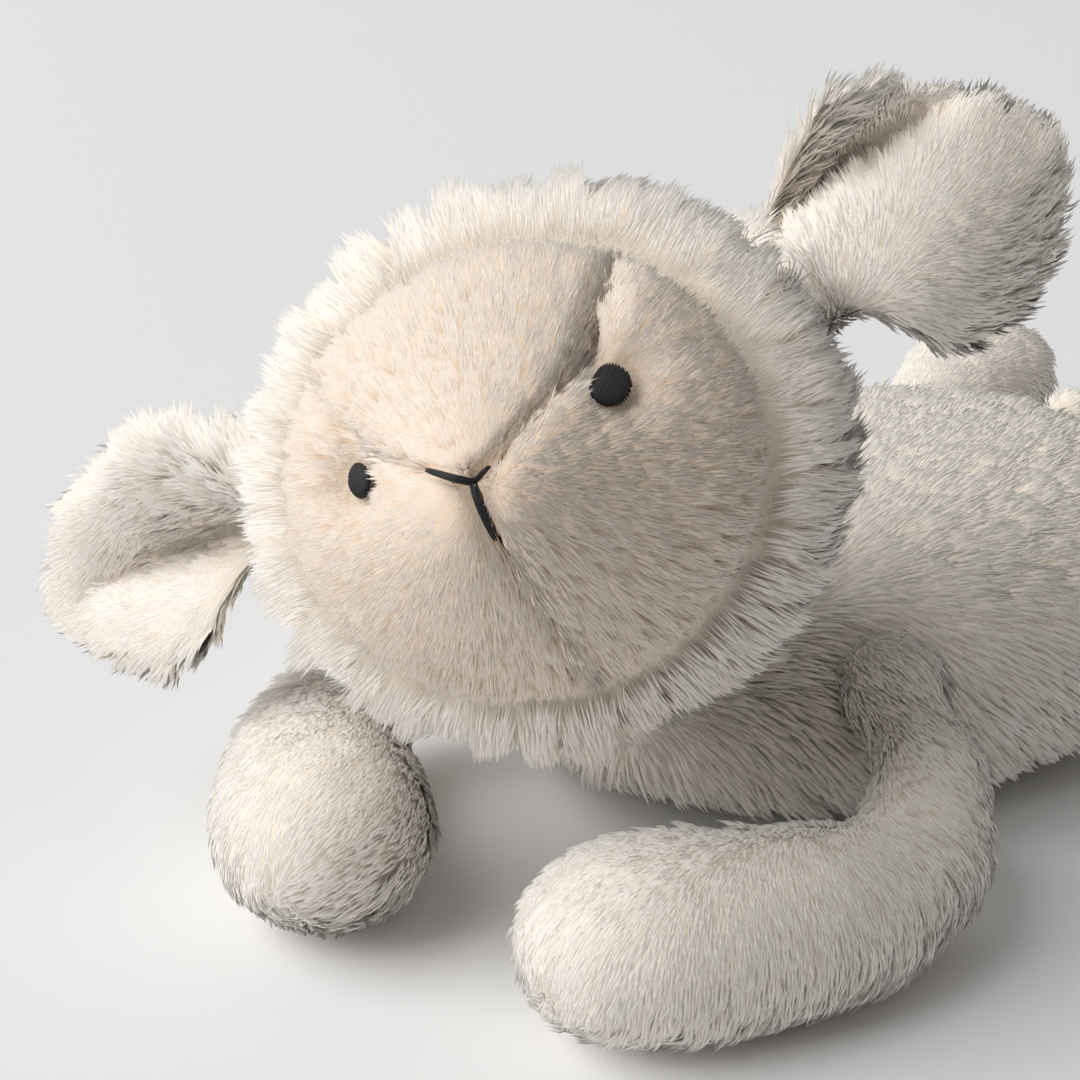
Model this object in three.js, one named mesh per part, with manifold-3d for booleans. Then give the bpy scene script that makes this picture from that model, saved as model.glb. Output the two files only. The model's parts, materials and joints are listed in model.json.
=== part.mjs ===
// Plush sheep, lying on its belly with its head lifted, turned and tilted to its left.
// Millimetres. The sheep faces -Y, its own left is +X, and up is +Z.
// The origin is on the flat patch that the belly rests on, under the middle of the trunk.
import * as THREE from 'three';
import { mergeVertices } from 'three/addons/utils/BufferGeometryUtils.js';
import loadManifold from 'manifold-3d';

const wasm = await loadManifold();
wasm.setup();

// Cloth: each thickness is the backing with its dense pile
const woolThickness = 6;
const faceThickness = 3.2;
const earPanelThickness = 4.2;
const sewingGap = 0.3;
const turningGap = 0.5;
const restFlatDepth = 0.5;
const cutOverrun = 300;

// Body
const bodyLength = 178;
const bodyFrontReach = 84;
const bodyWidth = 128;
const bodyHeight = 50;
const bellySeamHeight = 13;
const bodyEndFullness = 4;
const bodyTopFullness = 2.3;
const bodyBottomFullness = 3;
// Along the body, half width, top, bottom and widest height
const bodyShapeShares = [
  [0.00, 0.50, 0.62, 0.10, 0.40],
  [0.10, 0.62, 0.78, 0.04, 0.42],
  [0.20, 0.76, 0.92, 0.00, 0.42],
  [0.35, 0.93, 1.00, 0.00, 0.42],
  [0.50, 1.00, 1.00, 0.00, 0.42],
  [0.65, 1.00, 0.93, 0.00, 0.42],
  [0.82, 0.86, 0.85, 0.00, 0.42],
  [1.00, 0.60, 0.72, 0.06, 0.42],
];

// Bag of beads that weighs the belly down
const beadBagLength = 116;
const beadBagWidth = 74;
const beadBagTop = 22;
const beadBagMiddleHeight = 8;
const beadBagOffset = 8;

// Neck: a stuffed ball that turns in the body and carries the head
const neckRadius = 18;
const neckOffset = 2;
const neckForward = 58;
const neckHeight = 47;

// Head, in its own frame: face towards -Y, crown towards +Z
const headOffset = 5.2;
const headForward = 96.3;
const headHeight = 76.6;
const headTurn = 23.2;
const headLift = -20.4;
const headTilt = -25;
const hoodHalfWidth = 48;
const hoodHalfHeight = 43.5;
const hoodBackDepth = 55;
const hoodFrontDepth = 11.5;
const hoodMiddle = 14.5;
const hoodFrontFullness = 3;
const hoodBackFullness = 2.1;

// Face: a short-pile dome that stands out of the hood
const faceHalfWidth = 38;
const faceHalfHeight = 34.5;
const faceDrop = 1;
const faceRimForward = 22;
const faceDomeDepth = 25;
const faceRimLength = 10;
const faceDomeFullness = 2;
const muzzleBulge = 13;
const muzzleWidth = 15;
const muzzleHeight = 16;
const muzzleDrop = 6;
const noseDrop = 2.7;

// Eyes, and the darts that draw the face in at them
const eyeSide = 20.2;
const eyeRise = 5;
const eyeDiameter = 6.8;
const eyeHeight = 7.4;
const eyeThickness = 3.6;
const eyeDimpleDepth = 2.6;
const eyeDimpleWidth = 6;
const dartFootSide = 17.2;
const dartFootRise = 8.5;
const dartTopSide = 26;
const dartTopRise = 26;

// Stitched nose and mouth: two arms and a stem
const mouthStroke = 1.5;
const leftNoseArmSide = 3.2;
const leftNoseArmRise = 1.4;
const rightNoseArmSide = 6.6;
const rightNoseArmRise = 4.4;
const mouthStemLength = 8.8;

// Ears, each two panels on a small sewn root
const earLength = 53;
const earHalfWidth = 19;
const earRootRadius = 7;
const earRootSide = 45.5;
const earRootBack = 1;
const earRootRise = 10;
const earFoldDepth = 6;
const earSweep = 22;
const leftEarLift = 13;
const rightEarLift = 0;
const earEndFullness = 2.6;
// Along the ear, half width, thickness and depth of the fold
const earShapeShares = [
  [0.00, 0.26, 0.90, 0.20],
  [0.20, 0.46, 1.00, 0.95],
  [0.45, 0.86, 1.00, 0.75],
  [0.70, 1.04, 0.95, 0.40],
  [1.00, 1.00, 0.90, 0.15],
];

// Legs and tail: sewn roots that turn in shallow hollows of the body
const legRootRadius = 11;
const legOpeningRadius = 4;
const legThickness = 5;
const forelegLength = 106;
const pawHalfWidth = 20;
const pawHalfThickness = 17;
const shoulderSide = 42;
const shoulderForward = 50;
const shoulderHeight = 31;
const hindLegLength = 92;
const footHalfWidth = 18.5;
const footHalfThickness = 15;
const hipSide = 34;
const hipBack = 76;
const hipHeight = 22;
const tailLength = 34;
const tailHalfWidth = 9.5;
const tailHalfThickness = 8.5;
const tailRoundingShare = 0.6;
const tailRootRadius = 7;
const tailOpeningRadius = 2.5;
const tailThickness = 3.5;
const tailRootBack = 94;
const tailRootHeight = 29;
// Along the leg, half width and half thickness
const legShapeShares = [
  [0.00, 0.36, 0.44],
  [0.10, 0.46, 0.54],
  [0.25, 0.60, 0.72],
  [0.45, 0.74, 0.84],
  [0.65, 0.90, 0.95],
  [0.80, 1.00, 1.00],
  [1.00, 0.98, 0.98],
];
// Along the tail, half width and half thickness
const tailShapeShares = [
  [0.00, 0.56, 0.60],
  [0.35, 0.88, 0.88],
  [0.65, 1.00, 1.00],
  [1.00, 0.80, 0.80],
];
const legLandingShare = 0.42;
const pawRoundingShare = 0.80;
// Each leg's route seen from above: sideways and forwards, in shares of its length
const leftForelegRouteShares = [[0, 0], [0.14, 0.11], [0.21, 0.29], [0.14, 0.52], [0.01, 0.71], [-0.13, 0.85]];
const rightForelegRouteShares = [[0, 0], [-0.07, 0.14], [-0.07, 0.32], [0.02, 0.52], [0.205, 0.72], [0.34, 0.885]];
const leftHindLegRouteShares = [[0, 0], [0.10, -0.20], [0.27, -0.46], [0.42, -0.70], [0.50, -0.85]];
const rightHindLegRouteShares = [[0, 0], [-0.07, -0.22], [-0.13, -0.48], [-0.17, -0.76], [-0.16, -0.97]];
const tailRouteShares = [[0, 0], [0, -0.34], [0, -0.66], [0, -0.92]];
const tailTipHeight = 15;

// Facets
const bodyRings = 14;
const bodySides = 24;
const hoodRings = 11;
const hoodSides = 24;
const faceRings = 9;
const faceSides = 24;
const innerRings = 7;
const innerSides = 12;
const legRings = 10;
const legSides = 12;
const legInnerRings = 5;
const legInnerSides = 8;
const earRings = 7;
const earSides = 5;
const tailRings = 6;
const tailSides = 10;
const mouthSteps = 4;
const mouthSides = 6;
const ballSides = 16;
const ballRings = 10;
const neckSides = 20;
const neckRings = 12;
const seedRings = 6;
// Share of a limb's length over which its direction is taken
const directionShare = 0.01;
const openingShare = 0.1;
const normalStepShare = 0.1;

// Colours and finish
const woolColour = 0xf2ebe3;
const faceColour = 0xe6d5c5;
const threadColour = 0x1b1918;
const stuffingColour = 0xf4f4f1;
const bagColour = 0xd8d2c6;

const radians = THREE.MathUtils.degToRad;

// Value of one column of a table at a share of the way along, on a smooth curve
function follow(table, along, column) {
  const last = table.length - 2;
  const found = table.findIndex((row) => row[0] > along);
  const low = found < 0 ? last : Math.max(0, found - 1);
  const rows = [table[Math.max(0, low - 1)], table[low], table[low + 1], table[Math.min(last + 1, low + 2)]];
  const span = rows[2][0] - rows[1][0];
  const step = (along - rows[1][0]) / span;
  const slope = (a, b) => (b[0] > a[0] ? (b[column] - a[column]) / (b[0] - a[0]) * span : 0);
  const startSlope = slope(rows[0], rows[2]);
  const endSlope = slope(rows[1], rows[3]);
  const start = rows[1][column];
  const rise = rows[2][column] - start;
  return start + startSlope * step
    + (3 * rise - 2 * startSlope - endSlope) * step ** 2
    + (startSlope + endSlope - 2 * rise) * step ** 3;
}

const signedPower = (value, exponent) => Math.sign(value) * Math.abs(value) ** exponent;

// Shares of a half turn that crowd the rings together at both ends
const endCrowded = (row, rows) => (1 - Math.cos(Math.PI * row / rows)) / 2;

// Closed skin over rings of points, with a point at each end
function loft(startPoint, rings, endPoint) {
  const sides = rings[0].length;
  const points = [startPoint, ...rings.flat(), endPoint];
  const last = points.length - 1;
  const corners = [];
  for (let side = 0; side < sides; side += 1) {
    const next = (side + 1) % sides;
    corners.push(0, 1 + next, 1 + side);
    for (let row = 0; row < rings.length - 1; row += 1) {
      const here = 1 + row * sides;
      const there = here + sides;
      corners.push(here + side, here + next, there + side);
      corners.push(here + next, there + next, there + side);
    }
    const endRow = last - sides;
    corners.push(last, endRow + side, endRow + next);
  }
  const geometry = new THREE.BufferGeometry();
  geometry.setAttribute('position', new THREE.Float32BufferAttribute(points.flatMap((p) => p.toArray()), 3));
  geometry.setIndex(corners);
  return geometry;
}

// A closed geometry as a solid, turned right side out if its faces point in
function solidOf(geometry) {
  const bare = geometry.clone();
  bare.deleteAttribute('normal');
  bare.deleteAttribute('uv');
  const merged = bare.index && !geometry.attributes.normal ? bare : mergeVertices(bare);
  const vertProperties = new Float32Array(merged.attributes.position.array);
  const triVerts = new Uint32Array(merged.index.array);
  const solid = new wasm.Manifold(new wasm.Mesh({ numProp: 3, vertProperties, triVerts }));
  if (solid.volume() > 0) return solid;
  for (let first = 0; first < triVerts.length; first += 3) {
    [triVerts[first], triVerts[first + 1]] = [triVerts[first + 1], triVerts[first]];
  }
  return new wasm.Manifold(new wasm.Mesh({ numProp: 3, vertProperties, triVerts }));
}

function geometryOf(solid) {
  const mesh = solid.getMesh();
  const geometry = new THREE.BufferGeometry();
  geometry.setAttribute('position', new THREE.Float32BufferAttribute(mesh.vertProperties, 3));
  geometry.setIndex(Array.from(mesh.triVerts));
  geometry.computeVertexNormals();
  return geometry;
}

const placed = (geometry, place) => solidOf(geometry.translate(place.x, place.y, place.z));
const ball = (radius, centre, sides = ballSides, rings = ballRings) => (
  placed(new THREE.SphereGeometry(radius, sides, rings), centre));
const neckBall = (grow, centre) => ball(neckRadius + grow, centre, neckSides, neckRings);
const block = (x, y, z, centre) => placed(new THREE.BoxGeometry(x, y, z), centre);
const vector = (x, y, z) => new THREE.Vector3(x, y, z);

// Everything above or below a height
const above = (height) => block(cutOverrun * 2, cutOverrun * 2, cutOverrun, vector(0, 0, height + cutOverrun / 2));
const below = (height) => block(cutOverrun * 2, cutOverrun * 2, cutOverrun, vector(0, 0, height - cutOverrun / 2));
// Everything on one side of the middle, half a sewing gap away from it
function sideOf(side) {
  const middle = side * (cutOverrun + sewingGap) / 2;
  return block(cutOverrun, cutOverrun * 2, cutOverrun * 2, vector(middle, 0, 0));
}

// Body outline, grown by a distance or drawn in by it when it is negative
function bodySection(along, grow, sides) {
  const cap = Math.sqrt(1 - Math.abs(2 * along - 1) ** bodyEndFullness);
  const forward = -bodyFrontReach - grow + along * (bodyLength + 2 * grow);
  const halfWidth = bodyWidth / 2 * follow(bodyShapeShares, along, 1) + grow;
  const middle = bodyHeight * follow(bodyShapeShares, along, 4);
  const rise = bodyHeight * follow(bodyShapeShares, along, 2) - middle + grow;
  const fall = middle - bodyHeight * follow(bodyShapeShares, along, 3) + restFlatDepth + grow;
  const ring = [];
  for (let side = 0; side < sides; side += 1) {
    const angle = 2 * Math.PI * side / sides;
    const fullness = 2 / (Math.sin(angle) > 0 ? bodyTopFullness : bodyBottomFullness);
    const reach = Math.sin(angle) > 0 ? rise : fall;
    const across = halfWidth * cap * signedPower(Math.cos(angle), fullness);
    ring.push(vector(across, forward, middle + reach * cap * signedPower(Math.sin(angle), fullness)));
  }
  return ring;
}

function bodyForm(grow, ringCount, sides) {
  const rings = [];
  for (let row = 1; row < ringCount; row += 1) {
    rings.push(bodySection(endCrowded(row, ringCount), grow, sides));
  }
  const end = (along, y) => vector(0, y, bodyHeight * follow(bodyShapeShares, along, 4));
  const front = end(0, -bodyFrontReach - grow);
  const back = end(1, bodyLength - bodyFrontReach + grow);
  return solidOf(loft(front, rings, back));
}

// One superellipse of the hood, grown by a distance
function hoodForm(grow, ringCount, sides) {
  const rings = [];
  for (let row = 1; row < ringCount; row += 1) {
    const angle = Math.PI * row / ringCount;
    const front = Math.cos(angle) > 0;
    const fullness = 2 / (front ? hoodFrontFullness : hoodBackFullness);
    const depth = (front ? hoodFrontDepth : hoodBackDepth) + grow;
    const y = -hoodMiddle - depth * signedPower(Math.cos(angle), fullness);
    const share = Math.sin(angle) ** fullness;
    const ring = [];
    for (let side = 0; side < sides; side += 1) {
      const around = 2 * Math.PI * side / sides;
      const x = (hoodHalfWidth + grow) * share * Math.cos(around);
      ring.push(vector(x, y, (hoodHalfHeight + grow) * share * Math.sin(around)));
    }
    rings.push(ring);
  }
  const front = vector(0, -hoodMiddle - hoodFrontDepth - grow, 0);
  return solidOf(loft(front, rings, vector(0, -hoodMiddle + hoodBackDepth + grow, 0)));
}

const bump = (across, up, width, height) => Math.exp(-((across / width) ** 2) - (up / height) ** 2);

// How far forward of its rim the face stands at a place across and up it
function faceDepth(across, up, grow) {
  const share = Math.hypot(across / (faceHalfWidth + grow), (up + faceDrop) / (faceHalfHeight + grow));
  const dome = Math.max(0, 1 - share ** faceDomeFullness) ** (1 / faceDomeFullness);
  const muzzle = muzzleBulge * bump(across, up + muzzleDrop, muzzleWidth, muzzleHeight);
  const dimple = eyeDimpleDepth * bump(Math.abs(across) - eyeSide, up - eyeRise, eyeDimpleWidth, eyeDimpleWidth);
  return (faceDomeDepth + grow) * dome + (muzzle - dimple) * Math.min(1, 2 * dome);
}

function facePoint(across, up, grow) {
  return vector(across, -faceRimForward - faceDepth(across, up, grow), up);
}

// The face as a solid plug whose back end lies a length behind the rim
function faceForm(grow, rimLength, ringCount, sides) {
  const rings = [];
  const ringAt = (share, pointAt) => {
    const ring = [];
    for (let side = 0; side < sides; side += 1) {
      const angle = 2 * Math.PI * side / sides;
      const across = (faceHalfWidth + grow) * share * Math.cos(angle);
      ring.push(pointAt(across, (faceHalfHeight + grow) * share * Math.sin(angle) - faceDrop));
    }
    return ring;
  };
  for (let row = 1; row < ringCount; row += 1) {
    const share = Math.sin(Math.PI / 2 * row / ringCount);
    rings.push(ringAt(share, (across, up) => facePoint(across, up, grow)));
  }
  const backAt = (across, up) => vector(across, rimLength - faceRimForward, up);
  rings.push(ringAt(1, (across, up) => vector(across, -faceRimForward, up)));
  rings.push(ringAt(1, backAt));
  return solidOf(loft(facePoint(0, -faceDrop, grow), rings, backAt(0, -faceDrop)));
}

// Prism over the forehead, between the two darts and the seams from the nose
function foreheadPrism(grow) {
  const outline = new THREE.Shape();
  const top = faceHalfHeight + hoodHalfHeight;
  const spread = dartTopSide + (dartTopSide - dartFootSide) / (dartTopRise - dartFootRise) * (top - dartTopRise);
  const right = [[0, -noseDrop - grow], [dartFootSide + grow, dartFootRise], [spread + grow, top]];
  outline.moveTo(...right[0]);
  right.slice(1).forEach((point) => outline.lineTo(...point));
  right.slice(1).reverse().forEach((point) => outline.lineTo(-point[0], point[1]));
  const prism = new THREE.ExtrudeGeometry(outline, { depth: cutOverrun, bevelEnabled: false });
  return solidOf(prism.rotateX(Math.PI / 2));
}

// Outward direction of the face at a place across and up it
function faceNormal(across, up) {
  const step = eyeThickness * normalStepShare;
  const along = facePoint(across + step, up, 0).sub(facePoint(across - step, up, 0));
  const rise = facePoint(across, up + step, 0).sub(facePoint(across, up - step, 0));
  return along.cross(rise).normalize();
}

function stitchedEye(side, faceFront) {
  const eye = new THREE.SphereGeometry(1, ballSides, seedRings);
  eye.scale(eyeDiameter / 2, eyeHeight / 2, eyeThickness / 2);
  eye.applyQuaternion(new THREE.Quaternion().setFromUnitVectors(vector(0, 0, 1), faceNormal(side * eyeSide, eyeRise)));
  return placed(eye, facePoint(side * eyeSide, eyeRise, 0)).subtract(faceFront);
}

// One stitched stroke that follows the face from one place to another
function mouthStrokeSolid(from, to) {
  const rings = [];
  const pointAt = (share) => facePoint(from[0] + (to[0] - from[0]) * share, from[1] + (to[1] - from[1]) * share, 0);
  const travel = pointAt(1).sub(pointAt(0)).normalize();
  for (let step = 0; step <= mouthSteps; step += 1) {
    const centre = pointAt(step / mouthSteps);
    const out = faceNormal(centre.x, centre.z);
    const across = out.clone().cross(travel).normalize();
    const ring = [];
    for (let side = 0; side < mouthSides; side += 1) {
      const angle = 2 * Math.PI * side / mouthSides;
      const spoke = across.clone().multiplyScalar(Math.cos(angle)).addScaledVector(out, Math.sin(angle));
      ring.push(centre.clone().addScaledVector(spoke, mouthStroke / 2 + sewingGap));
    }
    rings.push(ring);
  }
  return solidOf(loft(pointAt(0), rings, pointAt(1)));
}

function noseAndMouth(faceFront) {
  const middle = [0, -noseDrop];
  const leftArm = mouthStrokeSolid(middle, [leftNoseArmSide, -noseDrop + leftNoseArmRise]);
  const rightArm = mouthStrokeSolid(middle, [-rightNoseArmSide, -noseDrop + rightNoseArmRise]);
  const stem = mouthStrokeSolid([0, -noseDrop + mouthStroke / 2], [0, -noseDrop - mouthStemLength]);
  return leftArm.add(rightArm).add(stem).subtract(faceFront);
}

// One ear panel: front or back of the fold. The ear runs out along +X from its root.
function earPanel(facing) {
  const rings = [];
  for (let row = 0; row <= earRings; row += 1) {
    const along = Math.sin(Math.PI / 2 * row / (earRings + 1));
    const cap = Math.sqrt(1 - along ** earEndFullness);
    const halfWidth = earHalfWidth * follow(earShapeShares, along, 1) * cap;
    const thickness = earPanelThickness * follow(earShapeShares, along, 2) * cap;
    const fold = earFoldDepth * follow(earShapeShares, along, 3);
    const middleAt = (angle) => fold * Math.sin(angle) ** 2 + facing * sewingGap / 2;
    const pointAt = (angle, out) => {
      const y = middleAt(angle) + facing * out * Math.sin(angle);
      return vector(earLength * along, y, halfWidth * Math.cos(angle));
    };
    const ring = [];
    for (let side = 0; side <= earSides; side += 1) ring.push(pointAt(Math.PI * side / earSides, thickness));
    for (let side = earSides - 1; side > 0; side -= 1) ring.push(pointAt(Math.PI * side / earSides, 0));
    rings.push(ring);
  }
  const endAt = (along) => (
    vector(earLength * along, facing * (sewingGap + earPanelThickness) / 2 + earFoldDepth * follow(earShapeShares, along, 3), 0));
  return solidOf(loft(endAt(0), rings, vector(earLength, facing * (sewingGap + earPanelThickness) / 2, 0)));
}

// Place along a leg or the tail, by its share of the length
function limbCentre(limb, along) {
  const share = Math.min(1, Math.max(0, along));
  const planPoint = limb.plan.getPointAt(share);
  const landed = Math.min(1, share / legLandingShare);
  const down = landed ** 2 * (3 - 2 * landed);
  const lying = limb.tipHeight || limb.halfThickness * follow(limb.shape, share, 2) - restFlatDepth;
  return vector(planPoint.x, planPoint.y, limb.root.z * (1 - down) + lying * down);
}

function limbForm(limb, grow, ringCount, sides) {
  const rings = [];
  for (let row = 0; row < ringCount; row += 1) {
    const along = Math.sin(Math.PI / 2 * row / ringCount);
    const ahead = limbCentre(limb, along + directionShare);
    const travel = ahead.sub(limbCentre(limb, along - directionShare)).normalize();
    const across = vector(0, 0, 1).cross(travel).normalize();
    const up = travel.clone().cross(across);
    const rounding = Math.max(0, (along - limb.roundingShare) / (1 - limb.roundingShare));
    const cap = Math.sqrt(1 - rounding ** 2);
    const halfWidth = (limb.halfWidth * follow(limb.shape, along, 1) + grow) * cap;
    const halfThickness = (limb.halfThickness * follow(limb.shape, along, 2) + grow) * cap;
    const centre = limbCentre(limb, along * (1 + grow / limb.length));
    const ring = [];
    for (let side = 0; side < sides; side += 1) {
      const angle = 2 * Math.PI * side / sides;
      const point = centre.clone().addScaledVector(across, halfWidth * Math.cos(angle));
      ring.push(point.addScaledVector(up, halfThickness * Math.sin(angle)));
    }
    rings.push(ring);
  }
  return solidOf(loft(limbCentre(limb, 0), rings, limbCentre(limb, 1 + grow / limb.length)));
}

function makeLimb(root, routeShares, sizes) {
  const places = routeShares.map(([side, forward]) => (
    vector(root.x + side * sizes.length, root.y - forward * sizes.length, 0)));
  return { root, plan: new THREE.CatmullRomCurve3(places), ...sizes };
}

// Way out of a sewn root towards the inside of the body
function rootOpening(limb) {
  const away = limbCentre(limb, 0).sub(limbCentre(limb, openingShare)).normalize();
  const bore = new THREE.CylinderGeometry(limb.openingRadius, limb.openingRadius, limb.rootRadius * 2, legInnerSides);
  bore.applyQuaternion(new THREE.Quaternion().setFromUnitVectors(vector(0, 1, 0), away));
  return placed(bore, limb.root.clone().addScaledVector(away, limb.rootRadius));
}

const legSizes = {
  rootRadius: legRootRadius,
  openingRadius: legOpeningRadius,
  thickness: legThickness,
  shape: legShapeShares,
  roundingShare: pawRoundingShare,
  facets: [legRings, legSides],
};
const forelegSizes = {
  ...legSizes, length: forelegLength, halfWidth: pawHalfWidth, halfThickness: pawHalfThickness,
};
const hindLegSizes = {
  ...legSizes, length: hindLegLength, halfWidth: footHalfWidth, halfThickness: footHalfThickness,
};
const tailSizes = {
  rootRadius: tailRootRadius,
  openingRadius: tailOpeningRadius,
  thickness: tailThickness,
  shape: tailShapeShares,
  roundingShare: tailRoundingShare,
  facets: [tailRings, tailSides],
  length: tailLength,
  halfWidth: tailHalfWidth,
  halfThickness: tailHalfThickness,
  tipHeight: tailTipHeight,
};
const shoulder = (side) => vector(side * shoulderSide, -shoulderForward, shoulderHeight);
const hip = (side) => vector(side * hipSide, hipBack, hipHeight);
const limbs = {
  foreleg_left: makeLimb(shoulder(1), leftForelegRouteShares, forelegSizes),
  foreleg_right: makeLimb(shoulder(-1), rightForelegRouteShares, forelegSizes),
  hind_leg_left: makeLimb(hip(1), leftHindLegRouteShares, hindLegSizes),
  hind_leg_right: makeLimb(hip(-1), rightHindLegRouteShares, hindLegSizes),
  tail: makeLimb(vector(0, tailRootBack, tailRootHeight), tailRouteShares, tailSizes),
};
const neckCentre = vector(neckOffset, -neckForward, neckHeight);

const model = new THREE.Group();
const head = new THREE.Group();
head.position.set(headOffset, -headForward, headHeight);
head.rotation.set(radians(headLift), radians(headTilt), radians(headTurn), 'ZXY');
head.updateMatrixWorld();
model.add(head);

function addNode(parent, name, solid, colour, roughness) {
  const material = new THREE.MeshStandardMaterial({ color: colour, roughness, metalness: 0 });
  const mesh = new THREE.Mesh(geometryOf(solid), material);
  mesh.name = name;
  parent.add(mesh);
  return mesh;
}

// The hollow that a leg's or the tail's sewn root turns in
const rootHollow = (limb) => ball(limb.rootRadius + turningGap, limb.root);

// All the hollows of the body: one for the neck, and one for each leg and the tail
function bodyHollows() {
  return Object.values(limbs).reduce((all, limb) => all.add(rootHollow(limb)), neckBall(turningGap, neckCentre));
}

function beadBagForm(grow) {
  const bag = new THREE.SphereGeometry(1, ballSides, ballRings);
  const halfHeight = beadBagTop - beadBagMiddleHeight + grow;
  bag.scale(beadBagWidth / 2 + grow, beadBagLength / 2 + grow, halfHeight);
  return placed(bag, vector(0, beadBagOffset, beadBagMiddleHeight));
}

function addBody() {
  const hollows = bodyHollows();
  const inside = bodyForm(-woolThickness, innerRings, innerSides);
  const filling = bodyForm(-woolThickness - sewingGap, innerRings, innerSides);
  const skin = bodyForm(0, bodyRings, bodySides).subtract(below(0)).subtract(inside).subtract(hollows);
  const belly = skin.subtract(above(bellySeamHeight));
  const back = skin.subtract(below(bellySeamHeight + sewingGap));
  addNode(model, 'belly_panel', belly, woolColour, 0.95);
  addNode(model, 'back_panel_left', back.intersect(sideOf(1)), woolColour, 0.95);
  addNode(model, 'back_panel_right', back.intersect(sideOf(-1)), woolColour, 0.95);
  addNode(model, 'body_stuffing', filling.subtract(beadBagForm(sewingGap)).subtract(hollows), stuffingColour, 1);
  addNode(model, 'bead_bag', beadBagForm(0).intersect(filling).subtract(hollows), bagColour, 0.9);
}

function addLimb(name, limb) {
  const bodyAround = bodyForm(sewingGap, bodyRings, bodySides).subtract(rootHollow(limb));
  const whole = limbForm(limb, 0, ...limb.facets).add(ball(limb.rootRadius, limb.root));
  const hollowBy = (distance) => limbForm(limb, -distance, legInnerRings, legInnerSides)
    .add(ball(limb.rootRadius - distance, limb.root, legInnerSides, seedRings));
  const skin = whole.subtract(bodyAround).subtract(below(0)).subtract(hollowBy(limb.thickness));
  const filling = hollowBy(limb.thickness + sewingGap);
  const bodyKeptOff = bodyForm(sewingGap * 2, bodyRings, bodySides).subtract(ball(limb.rootRadius, limb.root));
  addNode(model, `${name}_skin`, skin.subtract(rootOpening(limb)), woolColour, 0.95);
  addNode(model, `${name}_stuffing`, filling.subtract(bodyKeptOff), stuffingColour, 1);
}

const earRoot = (side) => vector(side * earRootSide, earRootBack, earRootRise);

function addEar(side, name, lift) {
  const root = new THREE.Group();
  root.position.copy(earRoot(side));
  root.rotation.set(0, radians(-side * lift), radians(side * earSweep), 'ZYX');
  head.add(root);
  const mirror = (solid) => (side > 0 ? solid : solid.mirror([1, 0, 0]));
  const sewnRoot = ball(earRootRadius, vector(0, 0, 0));
  const backPanel = earPanel(1).add(sewnRoot);
  const frontPanel = earPanel(-1).subtract(ball(earRootRadius + turningGap, vector(0, 0, 0)));
  addNode(root, `${name}_back`, mirror(backPanel), woolColour, 0.95);
  addNode(root, `${name}_front`, mirror(frontPanel), woolColour, 0.95);
}

function addHead() {
  const neckInHead = head.worldToLocal(neckCentre.clone());
  const hollows = [1, -1].reduce(
    (all, side) => all.add(ball(earRootRadius + turningGap, earRoot(side))),
    neckBall(turningGap, neckInHead),
  );
  const facePlug = faceForm(sewingGap, faceRimLength + sewingGap, faceRings, faceSides);
  const hoodInside = hoodForm(-woolThickness, innerRings, innerSides);
  const hood = hoodForm(0, hoodRings, hoodSides).subtract(hoodInside).subtract(facePlug).subtract(hollows);
  addNode(head, 'hood_left', hood.intersect(sideOf(1)), woolColour, 0.95);
  addNode(head, 'hood_right', hood.intersect(sideOf(-1)), woolColour, 0.95);

  const faceBack = faceForm(-faceThickness, faceRimLength * 2, innerRings, innerSides);
  const face = faceForm(0, faceRimLength, faceRings, faceSides).subtract(faceBack);
  const cheeks = face.subtract(foreheadPrism(sewingGap));
  addNode(head, 'forehead_panel', face.intersect(foreheadPrism(0)), faceColour, 0.9);
  addNode(head, 'cheek_left', cheeks.intersect(sideOf(1)), faceColour, 0.9);
  addNode(head, 'cheek_right', cheeks.intersect(sideOf(-1)), faceColour, 0.9);

  const faceFilling = faceForm(-faceThickness - sewingGap, faceRimLength * 2, innerRings, innerSides);
  const hoodFilling = hoodForm(-woolThickness - sewingGap, innerRings, innerSides).subtract(facePlug);
  addNode(head, 'head_stuffing', hoodFilling.add(faceFilling).subtract(hollows), stuffingColour, 1);

  addNode(head, 'eye_left', stitchedEye(1, facePlug), threadColour, 0.5);
  addNode(head, 'eye_right', stitchedEye(-1, facePlug), threadColour, 0.5);
  addNode(head, 'nose_and_mouth', noseAndMouth(facePlug), threadColour, 0.6);
}

addBody();
addNode(model, 'neck', neckBall(0, neckCentre), woolColour, 0.95);
Object.entries(limbs).forEach(([name, limb]) => addLimb(name, limb));
addHead();
addEar(1, 'ear_left', leftEarLift);
addEar(-1, 'ear_right', rightEarLift);

export default model;
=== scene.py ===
"""Plush sheep lying on its belly, in metres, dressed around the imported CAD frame.

The sheep faces -Y, its own left is +X and up is +Z. The stuffed skins are puffed up from
the CAD solids, the face and the ears are sewn from panels, and the pile is grown on all
of them with one Geometry Nodes tree.
"""
import heapq
import json
import math

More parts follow.
